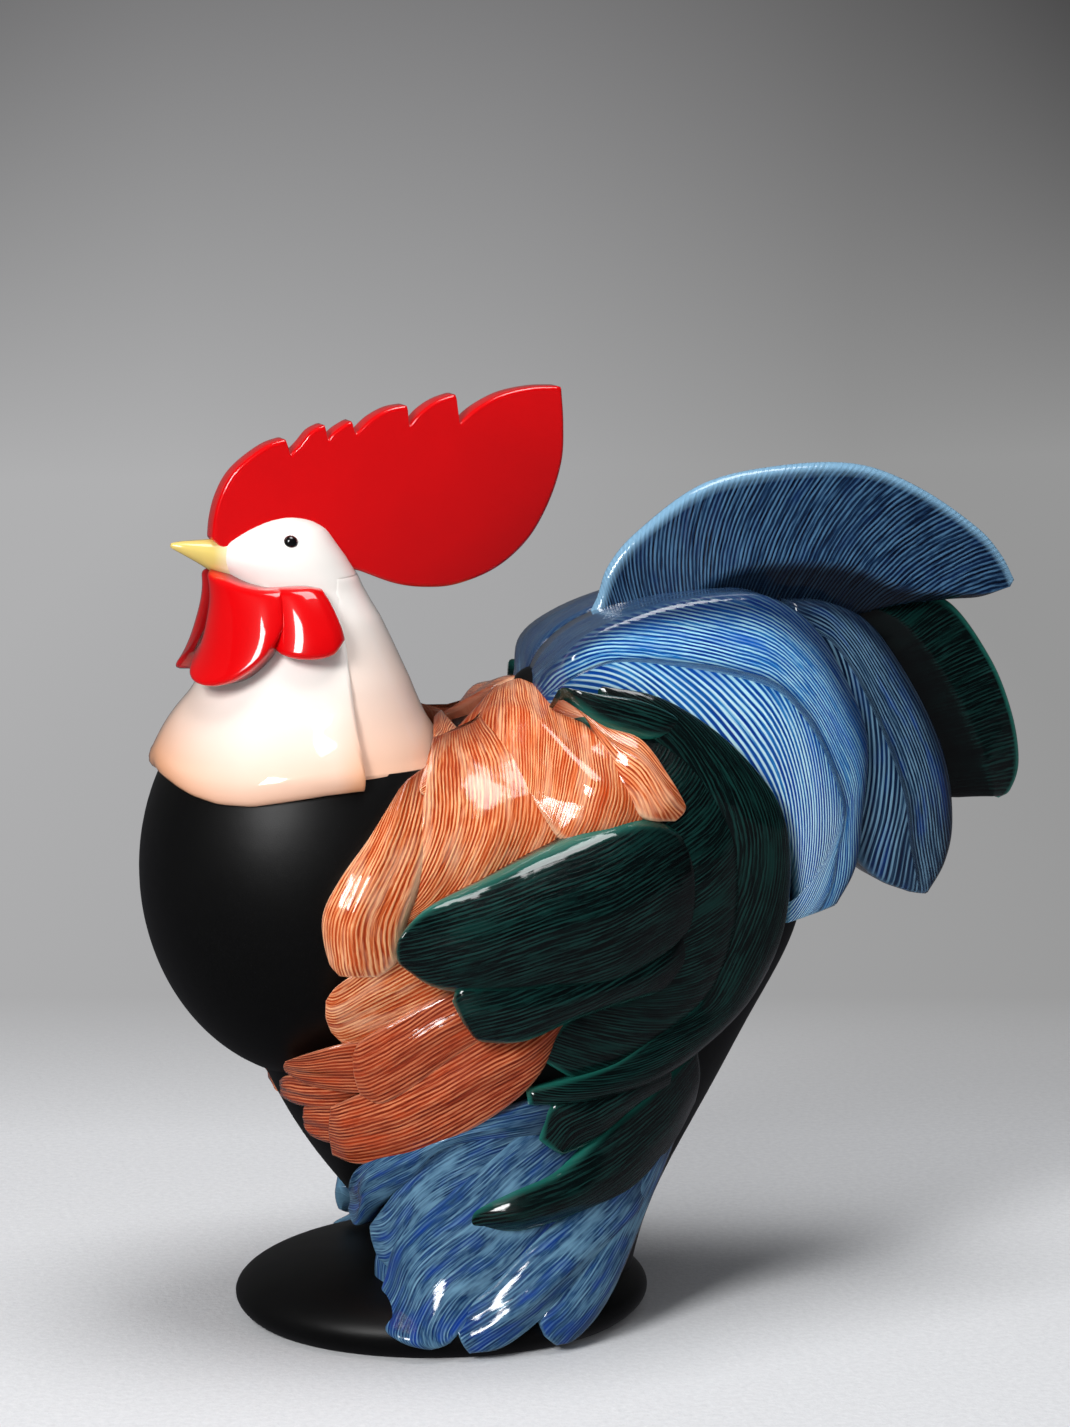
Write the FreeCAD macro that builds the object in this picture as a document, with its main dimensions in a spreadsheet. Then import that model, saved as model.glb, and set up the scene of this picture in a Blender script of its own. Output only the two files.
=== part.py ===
import FreeCAD, Part
import math
import os
from FreeCAD import Placement, Rotation, Vector

# Glazed ceramic rooster figure: a carved hollow body on an oval foot.
# It faces -X, its left side is -Y, and the foot's flat underside is at Z = 0.

doc = FreeCAD.newDocument("RoosterFigure")

# Driving dimensions in millimetres, each written once
driving_sizes = [
    ("foot_half_length", 69.5, "oval foot, half of its length"),
    ("foot_half_width", 64, "oval foot, half of its width"),
    ("foot_crown_height", 18, "dome of the foot above its widest level"),
    ("foot_widest_height", 6.6, "level at which the foot is widest"),
    ("shell_wall", 5, "wall of the hollow castings"),
    ("vent_radius", 1.9, "firing vents, radius"),
    ("flank_half_length", 100, "carved body, half of the length that the carving follows"),
    ("flank_half_width", 60, "carved body, half of its width"),
    ("flank_height", 200, "carved body, height that the carving follows"),
    ("body_axis_behind", 22, "middle of the body behind the middle of the foot"),
    ("breast_half_length", 59, "egg-shaped breast, half of its length"),
    ("breast_half_width", 60, "egg-shaped breast, half of its width"),
    ("breast_half_height", 70, "egg-shaped breast, half of its height"),
    ("breast_centre_ahead", 41, "middle of the breast in front of the middle of the foot"),
    ("breast_centre_height", 152, "middle of the breast above the table"),
    ("neck_seat_height", 190, "level at which the neck sits on the breast"),
    ("neck_height", 80, "neck and head above their seat"),
    ("neck_half_length", 46, "neck at its seat, half of its length"),
    ("neck_half_width", 50, "neck at its seat, half of its width"),
    ("neck_axis_ahead", 45, "axis of the neck in front of the middle of the foot"),
    ("bib_thickness", 1.8, "front layer of the neck over the back layer"),
    ("bib_seam_ahead", 37.5, "seam of the two layers in front of the middle of the foot"),
    ("bib_hem_drop", 7.5, "front hem below the seat of the neck"),
    ("beak_length", 26, "beak from inside the head to its tip"),
    ("beak_root_radius", 11.5, "beak, radius at its root inside the head"),
    ("beak_tip_radius", 1.3, "beak, radius at its tip"),
    ("beak_tilt", 15, "rise of the beak in degrees"),
    ("eye_radius", 2.4, "round eye bead, radius"),
    ("comb_length", 117, "comb, overall length"),
    ("comb_height", 66, "comb, overall height"),
    ("comb_thickness", 11, "comb, thickness"),
    ("wattle_relief", 8, "wattles over the neck"),
    ("carving_relief", 10, "relief of the carved feathers over the body"),
    ("tail_reach", 140, "reach of the tail behind its pivot"),
    ("tail_half_width", 44, "tail at its pivot, half of its width"),
    ("tail_pivot_behind", 70, "pivot of the tail behind the middle of the foot"),
    ("tail_pivot_height", 150, "pivot of the tail above the table"),
    ("top_feather_half_width", 13, "top tail feather, half of its width at the ridge"),
    ("rear_feather_half_width", 9, "rear tail feather, half of its width"),
    ("cut_overrun", 400, "reach of the cutting blocks, past every side of the figure"),
]

sheet = doc.addObject("Spreadsheet::Sheet", "Sizes")
for row, (alias, value, meaning) in enumerate(driving_sizes, start=1):
    sheet.set("A" + str(row), meaning)
    sheet.set("B" + str(row), str(value))
    sheet.setAlias("B" + str(row), alias)
doc.recompute()


def size(alias):
    """Value of one driving dimension, read from the sheet."""
    return float(sheet.get(alias))


oval_points = 8  # points that an oval's curve goes through
loft_degree = 3

# Shares of the driving dimensions, chosen by hand

# Body, from its foot up: height / flank_height, shift / flank_half_length,
# half length / flank_half_length, half width / flank_half_width
body_section_shares = [
    (0.0, 0.0, 0.42, 0.70),
    (0.09, 0.0, 0.44, 0.73),
    (0.215, -0.01, 0.54, 0.78),
    (0.31, -0.03, 0.66, 0.87),
    (0.41, -0.03, 0.77, 0.95),
    (0.51, -0.02, 0.87, 1.0),
    (0.625, 0.0, 0.97, 1.02),
    (0.75, 0.04, 0.97, 1.0),
    (0.875, 0.13, 0.85, 0.9),
    (0.975, 0.30, 0.55, 0.7),
    (1.04, 0.33, 0.32, 0.42),
    (1.07, 0.32, 0.04, 0.05),
]
# Skirt of the leg feathers, in the same shares
skirt_section_shares = [
    (-0.05, -0.08, 0.60, 1.03),
    (0.0, -0.08, 0.59, 1.02),
    (0.1, -0.04, 0.54, 0.95),
    (0.215, -0.01, 0.56, 0.87),
    (0.31, -0.03, 0.67, 0.88),
    (0.41, -0.03, 0.77, 0.95),
]
# Neck and head, from the seat up: height / neck_height, shift / neck_half_length,
# half length / neck_half_length, half width / neck_half_width
neck_section_shares = [
    (-0.25, 0.09, 1.17, 1.14),
    (-0.125, 0.065, 1.145, 1.09),
    (-0.0375, 0.04, 1.075, 1.04),
    (0.025, 0.0, 0.985, 1.0),
    (0.1625, -0.025, 0.87, 0.86),
    (0.3125, 0.0, 0.725, 0.70),
    (0.4375, 0.0, 0.61, 0.58),
    (0.5625, -0.01, 0.505, 0.485),
    (0.6625, -0.045, 0.435, 0.395),
    (0.7375, -0.105, 0.43, 0.365),
    (0.8125, -0.17, 0.42, 0.335),
    (0.875, -0.185, 0.36, 0.285),
    (0.925, -0.15, 0.265, 0.215),
    (0.9625, -0.13, 0.145, 0.125),
    (0.991, -0.13, 0.015, 0.015),
]
# Taper of the tail: distance from the pivot / tail_reach, half width / tail_half_width
tail_taper_shares = [(0.0, 1.0), (0.29, 0.91), (0.57, 0.61), (0.79, 0.36), (1.0, 0.18)]

tail_starts_share = 0.08  # of flank_half_length, behind the body's middle
tail_base_share = 0.55  # of flank_height
body_focus_share = 0.85  # of flank_height, where the roots of the upper feathers aim
root_depth_share = 2.6  # of carving_relief, from a feather's edges to its root
cavity_top_share = 0.75  # of neck_height
cavity_top_radius_share = 0.26  # of neck_half_length
cavity_seat_radius_share = 0.83  # of neck_half_length
seam_top_share = 0.72  # of neck_height
beak_root_ahead_share = 0.39  # of neck_half_length
beak_root_height_share = 0.783  # of neck_height
eye_ahead_share = 0.165  # of neck_half_length
eye_height_share = 0.884  # of neck_height
eye_seat_share = 0.35  # of eye_radius, centre of the bead inside the head
comb_front_share = 0.67  # of neck_half_length, in front of the neck's axis
comb_base_share = 0.66  # of neck_height


def between(rows, height):
    """Straight interpolation of a table's rows at a height, held at both ends."""
    if height <= rows[0][0]:
        return rows[0][1:]
    for low, high in zip(rows, rows[1:]):
        if height <= high[0]:
            part = (height - low[0]) / (high[0] - low[0])
            return [a + (b - a) * part for a, b in zip(low[1:], high[1:])]
    return rows[-1][1:]


def half_depth(rows, x, share_z, middle, half_length, half_width):
    """Half width of an oval stack at x, for a table of section shares."""
    shift, length_share, width_share = between(rows, share_z)
    along = (x - middle - shift * half_length) / (length_share * half_length)
    return width_share * half_width * max(1 - along * along, 0) ** 0.5


def breast_depth(x, z):
    """Half width of the egg-shaped breast at x and z."""
    along = (x + size("breast_centre_ahead")) / size("breast_half_length")
    up = (z - size("breast_centre_height")) / size("breast_half_height")
    return size("breast_half_width") * max(1 - along * along - up * up, 0) ** 0.5


def tail_depth(x, z):
    """Half width of the tail, by the distance from its pivot."""
    reach = Vector(x - size("tail_pivot_behind"), 0, z - size("tail_pivot_height")).Length
    return between(tail_taper_shares, reach / size("tail_reach"))[0] * size("tail_half_width")


def flank_depth(x, z):
    """Half width of the whole carved figure at x and z."""
    share_z = z / size("flank_height")
    middle = size("body_axis_behind")
    rows = body_section_shares
    if share_z < skirt_section_shares[-1][0]:
        rows = skirt_section_shares
    depth = half_depth(rows, x, share_z, middle, size("flank_half_length"), size("flank_half_width"))
    if share_z >= body_section_shares[-1][0]:
        depth = 0
    if rows is body_section_shares:
        depth = max(depth, breast_depth(x, z))
    if share_z > tail_base_share and x > middle + tail_starts_share * size("flank_half_length"):
        depth = max(depth, tail_depth(x, z))
    return depth


def oval(middle, half_length, half_width, height):
    """Closed smooth wire through evenly turned points of an ellipse in a level plane."""
    corners = []
    for step in range(oval_points):
        turn = 2 * math.pi * step / oval_points
        along, across = half_length * math.cos(turn), half_width * math.sin(turn)
        corners.append(Vector(middle + along, across, height))
    curve = Part.BSplineCurve()
    curve.interpolate(corners, PeriodicFlag=True)
    return Part.Wire([curve.toShape()])


def loft(wires):
    """Smooth closed solid through wires."""
    return Part.makeLoft(wires, True, False, False, loft_degree)


def add_shape(name, shape):
    """Feature of the document that holds a computed shape."""
    feature = doc.addObject("Part::Feature", name)
    feature.Shape = shape
    feature.Placement = Placement()
    return feature


def add_cut(name, base, tool):
    """Base less tool, as a feature of the document."""
    feature = doc.addObject("Part::Cut", name)
    feature.Base = base
    feature.Tool = tool
    return feature


def add_box(name, low, high):
    """Box between two corners."""
    box = doc.addObject("Part::Box", name)
    box.Length = high[0] - low[0]
    box.Width = high[1] - low[1]
    box.Height = high[2] - low[2]
    box.Placement.Base = Vector(*low)
    return box


def largest(shape):
    """Largest solid of a cut, without crumbs."""
    return max(shape.Solids, key=lambda solid: solid.Volume)


def cut_by(shape, tools):
    """Shape less each tool that it may reach, one after another."""
    for tool in tools:
        if shape.BoundBox.intersect(tool.BoundBox):
            shape = largest(shape.cut(tool))
    return shape


nodes = []


def keep(feature, label):
    """Name a finished sub-part, which goes into a file of that name."""
    feature.Label = label
    nodes.append(feature)
    return feature


def mirrored(feature, label):
    """Right-hand copy of a left-hand sub-part."""
    copy = doc.addObject("Part::Mirroring", label)
    copy.Source = feature
    copy.Normal = Vector(0, 1, 0)
    return keep(copy, label)


overrun = size("cut_overrun")

# Foot: an oval pebble, cut flat underneath and hollow
foot_pebble = doc.addObject("Part::Ellipsoid", "foot_pebble")
foot_pebble.setExpression("Radius1", "Sizes.foot_crown_height")
foot_pebble.setExpression("Radius2", "Sizes.foot_half_length")
foot_pebble.setExpression("Radius3", "Sizes.foot_half_width")
foot_pebble.setExpression("Placement.Base.z", "Sizes.foot_widest_height")
foot_room = doc.addObject("Part::Ellipsoid", "foot_room")
foot_room.setExpression("Radius1", "Sizes.foot_crown_height - Sizes.shell_wall")
foot_room.setExpression("Radius2", "Sizes.foot_half_length - Sizes.shell_wall")
foot_room.setExpression("Radius3", "Sizes.foot_half_width - Sizes.shell_wall")
foot_room.setExpression("Placement.Base.z", "Sizes.foot_widest_height")
below_table = add_box("below_table", (-overrun, -overrun, -overrun), (overrun, overrun, 0))
below_floor = add_box("below_floor", (-overrun, -overrun, -overrun), (overrun, overrun, size("shell_wall")))
foot_vent = doc.addObject("Part::Cylinder", "foot_vent")
foot_vent.setExpression("Radius", "Sizes.vent_radius")
foot_vent.setExpression("Height", "Sizes.cut_overrun")
foot_vent.setExpression("Placement.Base.x", "Sizes.body_axis_behind")
foot_form = add_cut("foot_form", foot_pebble, below_table)
foot_shell = add_cut("foot_shell", foot_form, add_cut("foot_room_above_floor", foot_room, below_floor))
foot = keep(add_cut("foot", foot_shell, foot_vent), "foot")

# Body: a hollow vase of ovals that stands on the foot
def body_wires(inset):
    """Ovals of the body, drawn in by an inset."""
    wires = []
    for share_z, shift, length_share, width_share in body_section_shares:
        half_length = length_share * size("flank_half_length")
        half_width = width_share * size("flank_half_width")
        drop = inset if share_z > body_focus_share else 0
        if min(half_length, half_width) > inset:
            middle = size("body_axis_behind") + shift * size("flank_half_length")
            level = max(share_z * size("flank_height") - drop, inset)
            wires.append(oval(middle, half_length - inset, half_width - inset, level))
    return wires


body_form = add_shape("body_form", loft(body_wires(0)))
body_room = add_shape("body_room", loft(body_wires(size("shell_wall"))))
breast_vent = doc.addObject("Part::Cylinder", "breast_vent")
breast_vent.setExpression("Radius", "Sizes.vent_radius")
breast_vent.setExpression("Height", "Sizes.cut_overrun")
breast_vent.Placement.Rotation = Rotation(Vector(0, 0, 1), Vector(-1, 0, 0))
breast_vent.setExpression("Placement.Base.z", "Sizes.breast_centre_height")
body_shell = add_cut("body_shell", add_cut("body_wall", body_form, body_room), foot_form)
body = keep(add_cut("body", body_shell, breast_vent), "body")

# Breast: an egg-shaped bowl on the front of the body, open at the neck's seat
breast_egg = doc.addObject("Part::Ellipsoid", "breast_egg")
breast_room = doc.addObject("Part::Ellipsoid", "breast_room")
for egg, wall in ((breast_egg, ""), (breast_room, " - Sizes.shell_wall")):
    egg.setExpression("Radius1", "Sizes.breast_half_height" + wall)
    egg.setExpression("Radius2", "Sizes.breast_half_length" + wall)
    egg.setExpression("Radius3", "Sizes.breast_half_width" + wall)
    egg.setExpression("Placement.Base.x", "-Sizes.breast_centre_ahead")
    egg.setExpression("Placement.Base.z", "Sizes.breast_centre_height")
seat = size("neck_seat_height")
above_seat = add_box("above_seat", (-overrun, -overrun, seat), (overrun, overrun, overrun))
breast_form = add_cut("breast_form", breast_egg, above_seat)
breast_shell = add_cut("breast_shell", breast_form, breast_room)
breast = keep(add_cut("breast", breast_shell, body_form), "breast")


# Neck and head: a tapering stack of ovals in two layers
def neck_form(name, layer):
    """Stack of the neck and head, grown by the thickness of a layer."""
    wires = []
    for share_z, shift, length_share, width_share in neck_section_shares:
        half_length = length_share * size("neck_half_length") + layer
        half_width = width_share * size("neck_half_width") + layer
        middle = shift * size("neck_half_length") - size("neck_axis_ahead")
        wires.append(oval(middle, half_length, half_width, seat + share_z * size("neck_height")))
    return add_shape(name, loft(wires))


head_form = neck_form("head_form", size("bib_thickness"))
nape_form = neck_form("nape_form", 0)
seam = -size("bib_seam_ahead")
seam_top = seat + seam_top_share * size("neck_height")
hem = seat - size("bib_hem_drop")
neck_room = doc.addObject("Part::Cone", "neck_room")
neck_room.setExpression("Radius1", "Sizes.neck_half_length * " + str(cavity_seat_radius_share))
neck_room.setExpression("Radius2", "Sizes.neck_half_length * " + str(cavity_top_radius_share))
neck_room.setExpression("Height", "Sizes.neck_height * " + str(cavity_top_share))
neck_room.setExpression("Placement.Base.x", "-Sizes.neck_axis_ahead")
neck_room.setExpression("Placement.Base.z", "Sizes.neck_seat_height")
behind_seam = add_box("behind_seam", (seam, -overrun, -overrun), (overrun, overrun, seam_top))
ahead_of_seam = add_box("ahead_of_seam", (-overrun, -overrun, -overrun), (seam, overrun, overrun))
below_hem = add_box("below_hem", (-overrun, -overrun, -overrun), (overrun, overrun, hem))
below_seat = add_box("below_seat", (-overrun, -overrun, -overrun), (overrun, overrun, seat))
above_seam = add_box("above_seam", (-overrun, -overrun, seam_top), (overrun, overrun, overrun))
doc.recompute()

head_shape = cut_by(head_form.Shape, [behind_seam.Shape, below_hem.Shape, breast_form.Shape])
head_and_bib = keep(add_shape("head_and_bib", cut_by(head_shape, [neck_room.Shape])), "head_and_bib")
nape_shape = cut_by(nape_form.Shape, [ahead_of_seam.Shape, below_seat.Shape, above_seam.Shape])
nape_shape = cut_by(nape_shape, [neck_room.Shape, body_form.Shape])
nape = keep(add_shape("nape", nape_shape), "nape")

# Beak: a cone that rises a little from the face
beak_cone = doc.addObject("Part::Cone", "beak_cone")
beak_cone.setExpression("Radius1", "Sizes.beak_root_radius")
beak_cone.setExpression("Radius2", "Sizes.beak_tip_radius")
beak_cone.setExpression("Height", "Sizes.beak_length")
beak_way = Rotation(Vector(0, 1, 0), size("beak_tilt")).multVec(Vector(-1, 0, 0))
beak_cone.Placement.Rotation = Rotation(Vector(0, 0, 1), beak_way)
beak_root_x = "-Sizes.neck_axis_ahead - Sizes.neck_half_length * " + str(beak_root_ahead_share)
beak_root_z = "Sizes.neck_seat_height + Sizes.neck_height * " + str(beak_root_height_share)
beak_cone.setExpression("Placement.Base.x", beak_root_x)
beak_cone.setExpression("Placement.Base.z", beak_root_z)
beak = keep(add_cut("beak", beak_cone, head_form), "beak")

# Eyes: two round beads set into the head
eye_x = -size("neck_axis_ahead") - eye_ahead_share * size("neck_half_length")
eye_z = seat + eye_height_share * size("neck_height")
eye_y = size("bib_thickness") - eye_seat_share * size("eye_radius") + half_depth(
    neck_section_shares, eye_x, eye_height_share, -size("neck_axis_ahead"),
    size("neck_half_length"), size("neck_half_width"))
eye_beads = []
for side, way in (("left", -1), ("right", 1)):
    bead = doc.addObject("Part::Sphere", "eye_ball_" + side)
    bead.setExpression("Radius", "Sizes.eye_radius")
    bead.Placement.Base = Vector(eye_x, way * eye_y, eye_z)
    eye_beads.append(add_cut("eye_bead_" + side, bead, head_form))
eyes = doc.addObject("Part::Compound", "eyes")
eyes.Links = eye_beads
keep(eyes, "eyes")

# Comb: a thick plate with five teeth along its crest.
# Each row ends a stretch; a row of four goes there along an arc through its last pair.
comb_outline_shares = [
    (0.083, 0.185),
    (0.0, 0.286),
    (0.117, 0.677, 0.029, 0.503),
    (0.204, 0.759, 0.156, 0.727),
    (0.218, 0.679),
    (0.321, 0.83, 0.264, 0.776),
    (0.316, 0.709),
    (0.384, 0.848, 0.35, 0.794),
    (0.399, 0.762),
    (0.549, 0.918, 0.468, 0.87),
    (0.551, 0.806),
    (0.688, 0.968, 0.609, 0.908),
    (0.706, 0.815),
    (0.985, 1.0, 0.809, 0.948),
    (0.975, 0.442, 0.999, 0.745),
    (0.732, 0.029, 0.895, 0.215),
    (0.408, 0.115, 0.604, 0.003),
    (0.262, 0.185),
    (0.083, 0.185),
]


def comb_point(share_x, share_z):
    """Point of the comb's outline in its upright sketch."""
    front = -size("neck_axis_ahead") - comb_front_share * size("neck_half_length")
    base = seat + comb_base_share * size("neck_height")
    return Vector(front + share_x * size("comb_length"), base + share_z * size("comb_height"), 0)


def upright_plane(part_body):
    """The body's own plane that holds X and Z."""
    for plane in part_body.Origin.OriginFeatures:
        if plane.Role == "XZ_Plane":
            return plane


comb_plate = doc.addObject("PartDesign::Body", "comb_plate")
comb_sketch = comb_plate.newObject("Sketcher::SketchObject", "comb_sketch")
comb_sketch.AttachmentSupport = [(upright_plane(comb_plate), "")]
comb_sketch.MapMode = "FlatFace"
for before, row in zip(comb_outline_shares, comb_outline_shares[1:]):
    start = comb_point(*before[:2])
    end = comb_point(*row[:2])
    if len(row) > 2:
        comb_sketch.addGeometry(Part.Arc(start, comb_point(*row[2:]), end), False)
    else:
        comb_sketch.addGeometry(Part.LineSegment(start, end), False)
comb_pad = comb_plate.newObject("PartDesign::Pad", "comb_pad")
comb_pad.Profile = comb_sketch
comb_pad.setExpression("Length", "Sizes.comb_thickness")
comb_pad.Midplane = True
comb_plate.Tip = comb_pad
comb = keep(add_cut("comb", add_cut("comb_on_head", comb_plate, head_form), beak_cone), "comb")
doc.recompute()


# Relief pieces: lofts of flat sections, each with a crowned outer edge and a root
def section(top, peak, low, inward, top_root_length, low_root_length):
    """Closed flat wire: a curved face under its peak and three straight sides."""
    middle = (top + low) / 2
    crown = middle - inward * (middle - peak).dot(inward)
    face = Part.BSplineCurve()
    face.interpolate([top, crown, low])
    top_root = top + inward * top_root_length
    low_root = low + inward * low_root_length
    sides = [Part.makeLine(low, low_root), Part.makeLine(low_root, top_root), Part.makeLine(top_root, top)]
    return Part.Wire([face.toShape()] + sides)


def focused_section(top, peak, low, focus):
    """Section whose roots run towards a focus inside the figure."""
    inward = (focus - (top + low) / 2).normalize()
    depth = root_depth_share * size("carving_relief")
    return section(top, peak, low, inward, depth, depth)


def neck_point(azimuth, share_z, relief):
    """Point on the neck's left side, turned back from the front by an azimuth."""
    shift, length_share, width_share = between(neck_section_shares, share_z)
    out = size("bib_thickness") + relief * size("wattle_relief")
    turn = Rotation(Vector(0, 0, 1), azimuth).multVec(Vector(-1, 0, 0))
    x = shift * size("neck_half_length") - size("neck_axis_ahead")
    x += turn.x * (length_share * size("neck_half_length") + out)
    y = turn.y * (width_share * size("neck_half_width") + out)
    return Vector(x, y, seat + share_z * size("neck_height"))


def lobe(rows):
    """Lobe of a wattle, from its front edge back round the neck."""
    wires = []
    for top_turn, top_z, top_relief, low_turn, low_z, low_relief, crown in rows:
        top = neck_point(top_turn, top_z, top_relief)
        low = neck_point(low_turn, low_z, low_relief)
        middle_relief = (top_relief + low_relief) / 2 + crown
        peak = neck_point((top_turn + low_turn) / 2, (top_z + low_z) / 2, middle_relief)
        wires.append(focused_section(top, peak, low, Vector(-size("neck_axis_ahead"), 0, peak.z)))
    return loft(wires)


# Wattles: azimuth in degrees, height / neck_height and relief / wattle_relief
# of the upper and the lower edge, then the crown between them
wattle_lobe_shares = [
    (6, 0.765, 0.5, 6, 0.40, 0.8, 0.2),
    (18, 0.745, 0.7, 18, 0.375, 1.0, 0.3),
    (32, 0.725, 0.8, 32, 0.36, 1.0, 0.4),
    (46, 0.715, 0.8, 46, 0.365, 1.0, 0.4),
    (60, 0.71, 0.8, 58, 0.40, 1.0, 0.3),
    (70, 0.66, 0.6, 68, 0.465, 0.8, 0.1),
]
ear_lobe_shares = [
    (66, 0.70, 0.5, 68, 0.48, 0.6, 0.1),
    (78, 0.715, 0.8, 80, 0.455, 1.0, 0.3),
    (88, 0.715, 0.9, 90, 0.46, 1.0, 0.4),
    (97, 0.71, 0.8, 99, 0.50, 0.9, 0.3),
    (101, 0.69, 0.5, 102, 0.56, 0.6, 0.1),
]
wattle_shape = lobe(wattle_lobe_shares).fuse(lobe(ear_lobe_shares))
wattle_left = keep(add_shape("wattle_left", cut_by(wattle_shape, [head_form.Shape])), "wattle_left")
mirrored(wattle_left, "wattle_right")

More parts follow.
